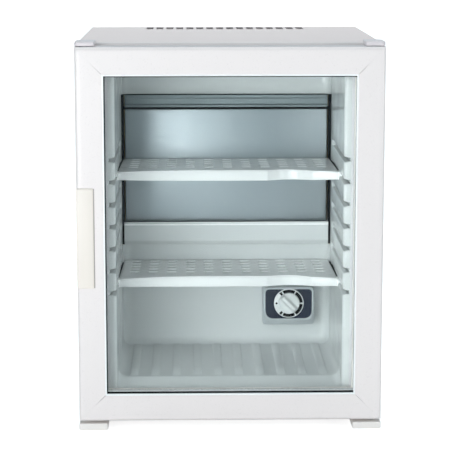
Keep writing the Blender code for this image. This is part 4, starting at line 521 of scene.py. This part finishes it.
def makeCap(side, name):
    low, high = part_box(name + "_corner_cap")
    nose, small, under = pick(cap, "nose corner under")
    radii = (nose, small, small, small) if side < 0 else (small, nose, small, small)
    flat = (low.x, low.y), (high.x, high.y), radii
    sections = [(low.z - under, *rolled(*flat, 0.0002)), (low.z - under + 0.0002, *flat)]
    rings, faces = sectionShape(2, sections + rolledEnd(high.z, -cap["topRound"], flat, True))
    # one point of each ring, in the front left corner, lies lower: drop = dent * share of the cap's height
    rings[:, 2, 2] -= cap["dent"] * np.clip((rings[:, 2, 2] - low.z) / (high.z - low.z), 0, 1)
    addPiece(name + "CornerCap", [(rings, faces)], "mouldedGreyCap", "cabinet",
             [name + "_corner_cap"])


def makeFoot(side, name):
    low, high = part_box(name + "_front_foot")
    inner, outer = sorted((abs(low.x), abs(high.x)))
    inner, outer, heel = inner + foot["inner"], outer - foot["outer"], foot["heel"]
    parts = [sideBlock(side, (inner, low.y, 0.0), (outer, high.y, foot["toeTop"]), 1, 0.0022, 0.0014),
             sideBlock(side, (inner, heel, 0.004), (outer, high.y, foot["lift"]), 1, 0.0012, 0.001),
             sideBlock(side, (outer - foot["web"], heel + 0.001, 0.008), (outer, heel + 0.041, high.z), 1, 0.0004,
                       0.0003)]
    addPiece(name + "FrontFoot", parts, "mouldedWhiteAbs", "cabinet", [name + "_front_foot"])


panelEdge = {"half": 0.1995, "low": 0.5082, "high": 0.5146, "front": 0.0012, "topBack": 0.0028, "back": 0.0034,
             "rounds": (0.0006, 0.0032, 0.0022, 0.0006)}
ventShadeGuard = {"half": 0.1245, "front": 0.1475, "back": 0.2015, "pitch": 0.0036, "bar": 0.0010, "low": 0.5070,
             "high": 0.5093, "crossHalf": 0.1225, "crossCount": 5, "cross": 0.0012}


def makePanelEdge():
    # raised front lip of the top panel, with a round crest; its lighter colour paints the crest's highlight
    e, y = panelEdge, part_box("top_panel")[0].y
    lip = roundedOutline([(y - e["front"], e["low"]), (y - e["front"], e["high"]), (y + e["topBack"], e["high"]),
                          (y + e["back"], e["low"])], e["rounds"])
    addPiece("topPanelEdge", [barShape(lip, -e["half"], e["half"])], "panelEdgeCoat", "cabinet")


def makeVentShadeGuard():
    # dark guard close under the vents, its black a painted shade seen through them: bars along the slots' row, crossed
    # by a few below
    g = ventShadeGuard
    parts = [blockShape((-g["half"], y - g["bar"], g["low"]), (g["half"], y + g["bar"], g["high"]), 0, 0.0004,
                        0.0003) for y in np.arange(g["front"], g["back"], g["pitch"])]
    parts += [blockShape((x - g["cross"], g["front"] - 0.002, g["low"] - 0.0008),
                         (x + g["cross"], g["back"] + 0.0015, g["low"] + 0.0004), 1, 0.0004, 0.0003)
              for x in np.linspace(-g["crossHalf"], g["crossHalf"], g["crossCount"])]
    addPiece("ventShadeGuard", parts, "mouldedBlackPolyamide", "cabinet")


for side, name in ((-1, "left"), (1, "right")):
    makeCap(side, name)
    makeFoot(side, name)
makePanelEdge()
makeVentShadeGuard()
print("caps, feet, panel edge and vent guard made")

liner = {
    "front": -0.1617, "back": 0.063,
    "halfWidth": 0.1533, "floor": 0.053, "ceiling": 0.4744,
    "corner": 0.014, "mouthRound": 0.0026, "wall": 0.0014,
    "flange": 0.042, "flangeSteps": (0.026, 0.0135),
    "sillDrop": 0.011, "sillLength": 0.034,
    "grooveFirst": 0.1786, "groovePitch": 0.030, "grooveCount": 7, "grooveHeight": 0.008, "grooveDepth": 0.0079,
    "grooveEnd": 0.0462,  # from the back wall
    "grooveSteps": (0.0026, 0.0032, 0.0040, 0.0048, 0.0054),  # grid lines beside each groove's centre
    "ribCount": 10, "ribPitch": 0.029, "ribWidth": 0.010, "ribHeight": 0.0011,
    "ribSteps": (0.0042, 0.0048, 0.0054, 0.0062),
    "windowLow": 0.2037, "windowHigh": 0.4248,  # opening for the cold plate
    "wallLines": (0.090, 0.120, 0.150, 0.2037, 0.4248, 0.380, 0.402, 0.4418, 0.456),
}
grooves = liner["grooveFirst"] + liner["groovePitch"] * np.arange(liner["grooveCount"])
ribs = centred(liner["ribPitch"], liner["ribCount"])


def bandAt(v, centres, width, height, inside, over):
    # height round each centre and 0 between them: height * (1 - S((distance - width / 2 + inside) / over))
    away = np.abs(v[..., None] - centres).min(-1)
    return height * (1 - smoothStep((away - width / 2 + inside) / over))


def gridLines(centres, steps, more=()):
    steps = np.array([-s for s in steps] + [0, *steps])
    return np.unique(np.round(np.concatenate([(centres[:, None] + steps).ravel(), more]), 6))


def linerRings():
    # depth, half width, bottom, top, corner radius, groove share and rib share, from the flange inwards
    front, back, half, floor, top, corner, mouth, drop, sill = pick(
        liner, "front back halfWidth floor ceiling corner mouthRound sillDrop sillLength")
    upperShare = (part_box("inner_liner")[1].z - top) / liner["flange"]
    rings = [(front, half + out, floor - drop - min(out, 0.025), top + out * upperShare, 0.004 + corner * 0.2, 0, 0)
             for out in (liner["flange"], *liner["flangeSteps"])]
    for a in np.radians([0, 22.5, 45, 67.5, 90]):  # the mouth rolls over a quarter circle
        e = mouth * (1 - np.sin(a))
        rings.append((front + mouth * (1 - np.cos(a)), half + e, floor - drop - e, top + e, corner * 0.55 + e,
                      1, 0))
    for s in (0.25, 0.5, 0.75, 0.93, 1.0):  # the sill climbs to the floor
        rings.append((front + mouth + (sill - mouth) * s, half, floor - drop * (1 - s), top,
                      corner * (0.55 + 0.45 * s), 1, 0))
    start, end = front + sill, back - liner["grooveEnd"]
    rings += [(y, half, floor, top, corner, groove, rib) for y, groove, rib in (
        (start + 0.003, 1, 0), (start + 0.006, 1, 0), (start + 0.009, 1, 1), (-0.08, 1, 1), (-0.04, 1, 1),
        (end - 0.008, 1, 1), (end - 0.005, 0.97, 1), (end - 0.002, 0.7, 1), (end, 0.3, 1), (end + 0.002, 0, 1),
        (0.035, 0, 1), (back - corner - 0.0006, 0, 1))]
    for a in np.radians([0, 15, 30, 45, 60, 75, 90]):  # a quarter circle leads into the back wall
        e = corner * (1 - np.cos(a))
        rings.append((back - corner + corner * np.sin(a), half - e, floor + e, top - e, corner - e, 0,
                      max(0, 1 - a * 3)))
    return rings


def makeLiner():
    # each ring is a rounded rectangle whose sides bulge into grooves and ribs; the back wall is a grid on them
    zs = gridLines(grooves, liner["grooveSteps"], liner["wallLines"])
    xs = gridLines(ribs, liner["ribSteps"])
    arc = np.linspace(0, np.pi / 2, 7)[1:-1]
    loops = []
    for y, h, b, t, r, groove, rib in linerRings():
        side = np.concatenate([[b + r], zs, [t - r]])
        flat = np.concatenate([[r - h], xs, [h - r]])
        sideX = h + groove * bandAt(side, grooves, liner["grooveHeight"], liner["grooveDepth"], 0.0012, 0.0022)
        floorZ = b + rib * bandAt(flat, ribs, liner["ribWidth"], liner["ribHeight"], 0.0008, 0.0018)
        c = [np.array(centre) + r * np.stack([np.cos(arc + turn), np.sin(arc + turn)], -1) for centre, turn in (
            ((h - r, b + r), -np.pi / 2), ((h - r, t - r), 0), ((r - h, t - r), np.pi / 2), ((r - h, b + r), np.pi))]
        ring = np.concatenate([np.stack([flat, floorZ], -1), c[0], np.stack([sideX, side], -1), c[1],
                               np.stack([flat[::-1], np.full(len(flat), t)], -1), c[2],
                               np.stack([-sideX, side], -1)[::-1], c[3]])
        loops.append(np.insert(np.concatenate([ring, ring[:1]]), 1, y, axis=1))
    loops = np.array(loops)
    half, floor, top, corner = pick(liner, "halfWidth floor ceiling corner")
    middle = (loops[:-1, :-1] + loops[1:, 1:]) / 2
    inWindow = ((np.abs(middle[..., 0]) > 0.13) & (middle[..., 1] > liner["back"] - corner - 0.0003)
                & (middle[..., 2] > liner["windowLow"]) & (middle[..., 2] < liner["windowHigh"]))
    wallX = np.concatenate([[corner - half], xs, [half - corner]])
    wallZ = np.concatenate([[floor + corner], zs, [top - corner]])
    gridX, gridZ = np.meshgrid(wallX, wallZ, indexing="ij")
    wall = np.stack([gridX, np.full(gridX.shape, liner["back"]), gridZ], -1)
    centre = (wall[:-1, :-1, 2] + wall[1:, 1:, 2]) / 2
    hole = (centre > liner["windowLow"]) & (centre < liner["windowHigh"])
    parts = [(loops, gridFaces(*loops.shape[:2], ~inWindow)), (wall, gridFaces(*gridX.shape, ~hole, flip=True))]
    piece = addPiece("innerLiner", parts, "vacuumFormedLiner", "cabinet", ["inner_liner"],
                     closed=False, sharpAngle=50)
    thicken(piece, liner["wall"], 1)


breaker = {"inner": 0.1546, "outer": 0.1618, "barInner": 0.1615, "barOuter": 0.1634, "proud": 0.0009, "deep": 0.0006,
           "notch": 0.0052, "low": 0.004, "high": 0.002}
seal = {
    "inner": 0.1487, "outer": 0.1556, "front": 0.0614, "back": 0.0644, "half": 0.1545, "thick": 0.0017,
    # front, low and high of the cross strips: under and above the plate, along the window's top and foot
    "bars": ((0.0655, 0.2346, 0.2364), (0.0655, 0.4018, 0.4062), (0.0640, 0.4226, 0.4256), (0.0640, 0.2026, 0.2046)),
}


def makeBreakerStrips():
    # pale strips on the front flange, notched where the shelf grooves run out; their paleness is painted light on the
    # flange
    s, front, back = breaker, liner["front"] - breaker["proud"], liner["front"] + breaker["deep"]
    starts = np.concatenate([[liner["floor"] - liner["sillDrop"] + s["low"]], grooves + s["notch"]])
    stops = np.concatenate([grooves - s["notch"], [liner["ceiling"] - s["high"]]])
    parts = []
    for side in (-1, 1):
        spans = [(s["barInner"], s["barOuter"], starts[0], stops[-1])]
        spans += [(s["inner"], s["outer"], low, high) for low, high in zip(starts, stops)]
        parts += [sideBlock(side, (x0, front, low), (x1, back, high), 2, 0.0006, 0.0005)
                  for x0, x1, low, high in spans]
    addPiece("flangeLightStrips", parts, "breakerStripVinyl", "cabinet")


def makeRecessSeal():
    # black foam round the cold plate in its window: it hides the foam and paints the deep shade in the gaps beside,
    # above and below the plate
    s = seal
    parts = [sideBlock(side, (s["inner"], s["front"], liner["windowLow"] + 0.001),
                       (s["outer"], s["back"], liner["windowHigh"] - 0.0004), 2, 0.0006, 0.0004) for side in (-1, 1)]
    parts += [blockShape((-s["half"], y, low), (s["half"], y + s["thick"], high), 0, 0.0004, 0.0003)
              for y, low, high in s["bars"]]
    addPiece("recessSeal", parts, "blackButylSeal", "cabinet")


makeLiner()
makeBreakerStrips()
makeRecessSeal()

plate = {"thick": 0.0036, "top": 0.4021, "round": 0.0013, "clear": 0.0010}
saddle = {"half": 0.085, "heights": (0.386, 0.346), "tall": 0.010, "front": 0.0034, "back": 0.0105}
cover = {"outline": ((0, 1, -0.6, 0), (0, 1, -0.6, -4.8), (0, 1, 0.6, -5.6), (0, 0, 0.6, 5), (0, 0, -1.6, 3.8),
                     (0, 0, -1.6, 0.8), (0, 0, 3.8, 0.8), (0, 1, 3.8, 0)), "round": 0.0005}
gutter = {
    "rise": 0.0030, "wall": 0.0015,
    "trough": ((0, 1, 0, -4.2), (0, 1, -1, -3.4), (0, 1, -1, -0.4), (0, 1, 2.6, -0.4), (0, 1, 2.6, -3.4),
               (0, 1, 1.5, -4.6), (0, 0, 1.5, 7), (0, 0, 5, 1.5), (1, 0, -4, 1.5), (1, 0, -1.5, 4),
               (1, 1, -1.5, 0), (1, 1, 0, 0), (1, 0, 0, 3), (1, 0, -3, 0), (0, 0, 4, 0), (0, 0, 0, 6)),
    "end": ((0, 1, 0.2, -0.8), (0, 0, 0.2, 6), (0, 0, 4, 0.2), (1, 0, -3, 0.2), (1, 0, -0.2, 3), (1, 1, -0.2, -0.8)),
    "lip": ((0, 1, -1.6, -3.8), (0, 1, -1.2, -1.4), (0, 1, 0.6, 0.8), (0, 1, 3.4, 0.8), (0, 1, 3.4, -2),
            (0, 1, 0.6, -3.8)),
    "troughRound": 0.0005, "endRound": 0.0008, "lipRound": 0.0006,
}
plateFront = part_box("evaporator_cover_strip")[0].y
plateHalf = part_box("evaporator_plate")[1].x - plate["clear"]


def makeColdPlate():
    # its long edges and ends are folded back, so the outline has small round corners
    shape = blockShape((-plateHalf, plateFront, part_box("evaporator_plate")[0].z),
                       (plateHalf, plateFront + plate["thick"], plate["top"]), 0, plate["round"], plate["round"])
    addPiece("coldPlate", [shape], "anodisedAluminium", "cabinet", ["evaporator_plate"])


def makePipeSaddles():
    # clamps behind the plate
    s = saddle
    parts = [blockShape((-s["half"], plateFront + s["front"], z - s["tall"]),
                        (s["half"], plateFront + s["back"], z + s["tall"]), 0, 0.001, 0.001) for z in s["heights"]]
    addPiece("pipeSaddles", parts, "dullAluminium", "cabinet")


def makeCoverStrip():
    # a shallow channel, with a raised band above and a rolled lip below
    low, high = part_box("evaporator_cover_strip")
    channel = boxOutline((low.y, low.z), (high.y, high.z), cover["outline"], cover["round"])
    addPiece("coverStrip", [barShape(channel, -plateHalf, plateHalf)], "dullAluminium", "cabinet",
             ["evaporator_cover_strip"])


def makeGutter():
    # a U trough with a rolled front rim and closed ends
    low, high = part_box("drip_gutter")
    box, wall = ((low.y, low.z), (high.y, high.z + gutter["rise"])), gutter["wall"]
    trough = boxOutline(*box, gutter["trough"], gutter["troughRound"], 3)
    end = boxOutline(*box, gutter["end"], gutter["endRound"])
    parts = [barShape(trough, low.x, high.x), barShape(end, low.x, low.x + wall),
             barShape(end, high.x - wall, high.x)]
    addPiece("dripGutter", parts, "vacuumFormedLiner", "cabinet", ["drip_gutter"])
    # white lip clipped over the front rim, turned up towards the light; its brightest white paints a highlight along
    # the rim
    lip = boxOutline(*box, gutter["lip"], gutter["lipRound"])
    addPiece("gutterLipHighlight", [barShape(lip, low.x, high.x)], "glazingBeadVinyl", "cabinet")


makeColdPlate()
makePipeSaddles()
makeCoverStrip()
makeGutter()
print("liner made")

shelf = {
    "half": 0.152, "back": 0.061, "depth": 0.143, "taper": 0.0165, "plate": 0.0025,
    "sweep": 0.018, "flatness": 3.2,  # the front's middle lies this far behind its corners
    "scoop": 0.009, "scoopCentre": 0.086, "scoopHalf": 0.031,
    "fasciaMiddle": 0.0122, "fasciaEnd": 0.0082, "fasciaWall": 0.0024, "fasciaRise": 0.0006,
    "columns": 11, "rows": 5, "columnPitch": 0.0265, "rowPitch": 0.019, "firstRow": 0.016,
    "slotLength": 0.013, "slotWidth": 0.007, "slotRound": 0.0005,
    "tongueEnd": 0.1607, "tongueFront": 0.130, "tongueBack": 0.046,
    "tongueUnder": 0.0031, "tongueOver": 0.0010, "rim": 0.014, "rimThick": 0.0022, "rimUnder": 0.003, "rimOver": 0.002,
    "railIn": (-0.0055, -0.004), "railOut": (-0.0002, 0.0016), "railRound": 0.0012, "lineCount": 12,
    # rounded noses at the front end, where the shelf is guided into the groove: two corners, rounding and edge; drawn
    # in white, a painted highlight on the shelf's front corners
    "noses": (((0.1508, -0.1495, -0.0075), (0.1531, -0.1400, 0.0016), 0.0010, 0.0010),
              ((0.1510, -0.1490, -0.0030), (0.1600, -0.1310, 0.0034), 0.0018, 0.0020)),
    "stripReach": 0.1530, "stripDown": 0.0052, "stripUp": 0.0030,
}


def bow(x):
    # flat-topped: 1 - |x / half|^flatness
    return 1 - np.abs(x / shelf["half"]) ** shelf["flatness"]


def shelfFront(x):
    # front edge behind its corners: sweep * bow, plus a half-cosine scoop
    s = shelf
    away = (x - s["scoopCentre"]) / s["scoopHalf"]
    scoop = np.where(np.abs(away) < 1, s["scoop"] * np.cos(away * np.pi / 2), 0)
    return s["back"] - s["depth"] + s["sweep"] * bow(x) + scoop


def sideShare(y):
    # the shelf narrows towards the back, so that it can be lifted in: share = 1 - taper * S(t)
    return 1 - shelf["taper"] * smoothStep((y - (shelf["back"] - shelf["depth"])) / shelf["depth"])


def acrossShelf(half, count, more):
    scoopEnds = [shelf["scoopCentre"] - shelf["scoopHalf"], shelf["scoopCentre"] + shelf["scoopHalf"]]
    return np.unique(np.round(np.concatenate([np.linspace(-half, half, count), more, scoopEnds]), 6))


def shelfPlate(name, node, body, plateTop):
    # a grid with cells left out at the slots, its lines drawn in to the taper
    s = shelf
    columns = centred(s["columnPitch"], s["columns"])
    xs = acrossShelf(s["half"], 77, (columns[:, None] + np.array([-0.5, 0.5]) * s["slotLength"]).ravel())
    rows = s["back"] - s["firstRow"] - s["rowPitch"] * np.arange(s["rows"])
    slotY = (rows[:, None] + np.array([0.5, -0.5]) * s["slotWidth"]).ravel()
    last = slotY[-1] - 0.004
    front = shelfFront(xs) + s["fasciaWall"] / 2
    straight = np.repeat([[s["back"], *slotY, last]], len(xs), 0)
    gridY = np.concatenate([straight, last + (front - last)[:, None] * np.array([0.4, 0.75, 1.0])], 1)
    gridX = xs[:, None] * sideShare(gridY)
    points = np.stack([gridX, gridY, np.full(gridX.shape, plateTop)], -1)
    middleX = ((xs[:-1] + xs[1:]) / 2)[:, None, None]
    middleY = ((gridY[:-1, :-1] + gridY[1:, 1:]) / 2)[..., None]
    inSlot = ((np.abs(middleX - columns).min(-1) < s["slotLength"] / 2)
              & (np.abs(middleY - rows).min(-1) < s["slotWidth"] / 2))
    faces = gridFaces(*gridX.shape, ~inSlot, flip=True)
    piece = addPiece(name, [(points, faces)], "mouldedShelf", body, [node], closed=False)
    thicken(piece, s["plate"], -1)
    edge = piece.modifiers.new("slot edges", "BEVEL")
    edge.width = s["slotRound"]
    edge.segments = 2
    edge.limit_method = "ANGLE"


def fasciaShape(plateTop):
    # a thin rounded wall carried along the front edge, taller in the middle: depth = end + (middle - end) * bow
    s = shelf
    x = acrossShelf(s["half"] - 0.0003, 121, [])
    low = plateTop - s["fasciaEnd"] - (s["fasciaMiddle"] - s["fasciaEnd"]) * bow(x)
    tall = 0.0145  # height of the loop before its lower half is drawn to the depth
    unit = roundedLoop((0, 0), (s["fasciaWall"], tall), 0.0009, 4)
    loops = np.empty((len(x), len(unit), 3))
    loops[..., 0] = x[:, None]
    loops[..., 1] = shelfFront(x)[:, None] + unit[:, 0]
    loops[..., 2] = unit[:, 1] + np.where(unit[:, 1] > tall / 2, plateTop + s["fasciaRise"] - tall, low[:, None])
    return loops, loftFaces(len(x), len(unit))


def alongSide(side, y, x, heights):
    # loops of (x, z) at each y, mirrored to their side
    loops = np.stack([side * x, np.broadcast_to(y[:, None], x.shape), np.broadcast_to(heights, x.shape)], -1)
    return loops, loftFaces(*x.shape)


def makeShelf(name, node, body):
    s = shelf
    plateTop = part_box(node)[1].z - 0.0036
    shelfPlate(name, node, body, plateTop)
    rim, base = s["half"] - s["rim"], np.array([0, s["back"], plateTop])
    parts, strips, noses = [fasciaShape(plateTop)], [], []
    parts.append(blockShape(base + (-rim, -s["rimThick"], -s["rimUnder"]), base + (rim, 0, s["rimOver"]), 0, 0.0009,
                            0.0008))
    y = np.linspace(s["back"] - s["depth"] + 0.0015, s["back"] - 0.012, s["lineCount"])
    edge = (s["half"] * sideShare(y))[:, None]
    rail = roundedLoop(s["railIn"], s["railOut"], s["railRound"], 4) + (0, plateTop)
    strip = roundedLoop((0, plateTop - s["stripDown"]), (1, plateTop + s["stripUp"]), 0.0001, 2)
    tongueStart = s["half"] * (1 - s["taper"]) - 0.003
    for side in (-1, 1):
        # raised rail along the side, following the taper, and the tongue that runs in the groove
        parts.append(alongSide(side, y, edge + rail[:, 0], rail[:, 1]))
        parts.append(sideBlock(side, base + (tongueStart, -s["tongueFront"], -s["tongueUnder"]),
                               base + (s["tongueEnd"], -s["tongueBack"], s["tongueOver"]), 1, 0.0009, 0.0012))
        noses += [sideBlock(side, base + near, base + far, 1, corner, end) for near, far, corner, end in s["noses"]]
        # black strip between the rail and the wall, a painted shadow in the gap: its outer edge runs straight, clear
        # of the wall
        strips.append(alongSide(side, y[1:-1], (edge + (s["stripReach"] - edge) * strip[:, 0])[1:-1], strip[:, 1]))
    addPiece(name + "EdgeShadowStrips", strips, "blackButylSeal", body)
    # the noses in white: painted highlight at the shelf's front corners
    addPiece(name + "NoseHighlights", noses, "glazingBeadVinyl", body)
    addPiece(name + "Trim", parts, "mouldedShelf", body, [node])


makeShelf("upperShelf", "upper_shelf", "upper_shelf_body")
makeShelf("lowerShelf", "lower_shelf", "lower_shelf_body")
print("shelves made")

thermostat = {
    "edge": 0.0016, "rim": 0.0035, "lip": 0.010, "chin": 0.0075,
    "pocket": 0.003, "pocketLow": 0.0112, "pocketHigh": 0.0058, "faceLow": 0.0107, "faceHigh": 0.0053,
    "footRadii": (0.0035, 0.0035, 0.006, 0.006), "chinRadii": (0.0125, 0.0125, 0.0075, 0.0075),
    "flange": 0.0025, "knob": 0.0155, "knobRim": 0.0022, "knobCrown": 0.0090,
    "ridgeWidth": 0.0034, "ridgeFoot": 0.0056,
    "bandInner": 0.0157, "bandOuter": 0.0203,
    "arcs": ((123, 134), (63, 117), (3, 57), (-57, -3), (-117, -63), (-134, -123)),  # printed marks, in degrees
    "spotAway": 0.0180, "spotSize": 0.0016, "ink": 0.00012,
}


def makeHousing():
    # a cup along y: from the wall it grows forward, the chin slopes in, the rim rolls over, then the pocket
    low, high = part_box("thermostat_housing")
    t = thermostat
    back, front, e, chin, rim = high.y, low.y, t["edge"], t["chin"], t["rim"]
    foot, slope = np.array(t["footRadii"]), np.array(t["chinRadii"])
    pocket = (low.x + rim, low.z + t["lip"]), (high.x - rim, high.z - rim), \
        (t["pocketLow"],) * 2 + (t["pocketHigh"],) * 2
    sections = [(y, (low.x, low.z), (high.x, high.z), foot) for y in (back, front + chin)]
    for s in (0.12, 0.5, 0.88, 1.0):
        # the lower edge climbs by lip - rim while the depth runs over the chin
        sections.append((front + e + (chin - e) * (1 - s), (low.x + 0.0006 * s, low.z + (t["lip"] - rim) * s),
                         (high.x - 0.0006 * s, high.z - 0.0003 * s), foot * (1 - s) + slope * s))
    sections += rolledEnd(front, e, sections[-1][1:], True)[1:]
    sections += [(front, *pocket), (front + 0.0005, *rolled(*pocket, 0.0003)),
                 (front + t["pocket"], *rolled(*pocket, 0.0005))]
    addPiece("thermostatHousing", [sectionShape(1, sections, 6)], "mouldedHousingGrey", "cabinet",
             ["thermostat_housing"])


def makeFace():
    radii = (thermostat["faceLow"],) * 2 + (thermostat["faceHigh"],) * 2
    shape = blockShape(*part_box("thermostat_face"), 1, radii, 0.0004)
    addPiece("thermostatFace", [shape], "mouldedSlateFace", "cabinet", ["thermostat_face"])


def makeDial():
    # polar grid: flange, low step and knob, whose top is a ridge that falls to a low rim on both sides:
    # height = rim + (crown - rim) * S((foot - |u|) / (foot - width / 2)) * fall, with u across the ridge
    low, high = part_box("thermostat_dial")
    t = thermostat
    cx, cz, back, wide = (low.x + high.x) / 2, (low.z + high.z) / 2, high.y, (high.x - low.x) / 2
    flange, rim, crown, knob = back - t["flange"], t["knobRim"], t["knobCrown"], t["knob"]
    radius = np.array([0.00001, wide - 0.0006, wide, wide, wide - 0.0003, wide - 0.0010, knob + 0.0003, knob,
                       knob - 0.0002, *np.linspace(knob - 0.0006, 0.0004, 26), 0.00001])[:, None]
    depth = np.array([back, back, back - 0.0006, flange + 0.0008, flange + 0.0002, flange, flange, flange - 0.0003,
                      flange - rim + 0.0004, *np.full(27, flange - rim)])[:, None]
    a = np.linspace(0, 2 * np.pi, 96, endpoint=False)
    x, z = radius * np.cos(a), radius * np.sin(a)
    across, along = np.abs(x + z) / np.sqrt(2), (x - z) / np.sqrt(2)  # the ridge runs from upper left to lower right
    onTop = (np.arange(len(radius)) > 8)[:, None]
    ends = smoothStep((knob - 0.0002 - radius) / 0.0022)
    slope = smoothStep((t["ridgeFoot"] - across) / (t["ridgeFoot"] - t["ridgeWidth"] / 2))
    scoop = 0.0006 * np.sin(np.clip((across - t["ridgeFoot"]) / 0.007, 0, 1) * np.pi)
    fall = 1 - 0.25 * (along / knob) ** 2
    y = depth - onTop * ends * ((crown - rim) * slope * fall - scoop)
    loops = np.stack([x + cx, np.maximum(y, low.y), z + cz], -1)
    addPiece("thermostatDial", [(loops, loftFaces(*x.shape))], "mouldedDialGrey", "dial",
             ["thermostat_dial"], sharpAngle=50)


def makeDialMarks():
    # printed arcs: radius from inner to outer, angle between the ticks; the spot is a small disc of the same grid
    low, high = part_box("thermostat_dial")
    t = thermostat
    cx, cz, y = (low.x + high.x) / 2, (low.z + high.z) / 2, high.y - t["flange"] - 0.00008
    band = np.linspace(t["bandInner"], t["bandOuter"], 4)
    sheets = [(cx, band, np.radians(np.linspace(start, end, 14))) for start, end in t["arcs"]]
    sheets.append((cx - t["spotAway"], np.linspace(0.00002, t["spotSize"], 3), np.linspace(0, 2 * np.pi, 17)))
    parts = []
    for centreX, radii, angles in sheets:
        r, a = np.meshgrid(radii, angles, indexing="ij")
        points = np.stack([centreX + r * np.cos(a), np.full(r.shape, y), cz + r * np.sin(a)], -1)
        parts.append((points, gridFaces(*r.shape)))
    thicken(addPiece("dialMarks", parts, "dialPrintBlack", "dial", closed=False), t["ink"], 1)


makeHousing()
makeFace()
makeDial()
makeDialMarks()
print("thermostat made")

stage = {"half": 6, "curveStart": 2.4, "curve": 0.6, "height": 5.0, "paper": "#F6F6F6", "glow": 0.74}
lamps = {  # place, aim, size and power of each soft box
    "keyBox": ((-2.6, -6.2, 1.0), (0, 0, 0.20), 3.8, 145),
    "fillBox": ((-0.9, -2.3, 0.04), (0.1, 0, 0.06), 0.8, 26),
    "sideBox": ((3.0, -2.6, 0.40), (0, -0.15, 0.2), 1.4, 40),
    "topBox": ((0, 0.9, 2.6), (0, 0.1, 0), 1.8, 30),
}
room = {"colour": (0.66, 0.89, 1.0, 1), "strength": 0.36}
view = {"sensor": 36, "lens": 131.19, "shift": -0.05, "place": (-0.0494, -2.3602, 0.6615), "down": 0.1649,
        "turn": -0.0224}


def compute(tree, operation, first, second):
    return addNode(tree, "Math", {0: first, 1: second}, operation=operation)


def seenByCamera(tree):
    # 1 for camera rays, also after a pane of glass, 0 once the ray has bounced off a surface
    path = addNode(tree, "LightPath").outputs
    bounces = compute(tree, "ADD", path["Diffuse Depth"], path["Glossy Depth"])
    straight = compute(tree, "LESS_THAN", bounces, 0.5)
    through = compute(tree, "MULTIPLY", path["Is Transmission Ray"], straight)
    return compute(tree, "MAXIMUM", path["Is Camera Ray"], through)


def makeStage():
    # one pale sheet: flat floor, a quarter circle up, then an upright wall; it glows a little for the camera
    half, start, curve, height = pick(stage, "half curveStart curve height")
    a = np.linspace(0, np.pi / 2, 13)
    y = np.concatenate([[-half, start], start + curve * np.sin(a), [start + curve]])
    z = np.concatenate([[0, 0], curve * (1 - np.cos(a)), [height]])
    gridX, gridY = np.meshgrid(np.linspace(-half, half, 5), y, indexing="ij")
    points = np.stack([gridX, gridY, np.broadcast_to(z, gridX.shape)], -1)
    material = bpy.data.materials.new("paleStagePaper")
    tree = emptyTree(material)
    paper = addNode(tree, "BsdfDiffuse", {"Color": linear(stage["paper"])})
    glow = addNode(tree, "Emission", {"Color": (1, 1, 1, 1),
                                      "Strength": compute(tree, "MULTIPLY", seenByCamera(tree), stage["glow"])})
    addNode(tree, "OutputMaterial", {"Surface": addNode(tree, "AddShader", {0: paper, 1: glow})})
    finishes["paleStagePaper"] = material
    floor = putMesh("stageFloor", points, gridFaces(*gridX.shape, flip=True), "paleStagePaper", closed=False)


def makeLights():
    for name, (place, aim, size, power) in lamps.items():
        light = bpy.data.lights.new(name, "AREA")
        light.size = size
        light.energy = power
        lamp = bpy.data.objects.new(name, light)
        lamp.location = place
        lamp.rotation_euler = (Vector(aim) - Vector(place)).to_track_quat("-Z", "Y").to_euler()
        bpy.context.scene.collection.objects.link(lamp)
    # a dim bluish room lights the surfaces, while the camera sees plain white behind everything
    world = bpy.data.worlds.new("softRoom")
    bpy.context.scene.world = world
    tree = emptyTree(world)
    dim = addNode(tree, "Background", {"Color": room["colour"], "Strength": room["strength"]})
    white = addNode(tree, "Background", {"Color": (1, 1, 1, 1), "Strength": 1.0})
    mixed = addNode(tree, "MixShader", {0: seenByCamera(tree), 1: dim, 2: white})
    addNode(tree, "OutputWorld", {"Surface": mixed})


def makeCamera():
    camera = bpy.data.cameras.new("frontCamera")
    camera.sensor_width = view["sensor"]
    camera.lens = view["lens"]
    camera.shift_y = view["shift"]
    holder = bpy.data.objects.new("frontCamera", camera)
    holder.location = view["place"]
    holder.rotation_euler = (np.pi / 2 - view["down"], 0, view["turn"])
    bpy.context.scene.collection.objects.link(holder)
    bpy.context.scene.camera = holder


makeStage()
makeLights()
makeCamera()
bpy.context.scene.view_settings.view_transform = "Standard"
print("stage, light and camera made")
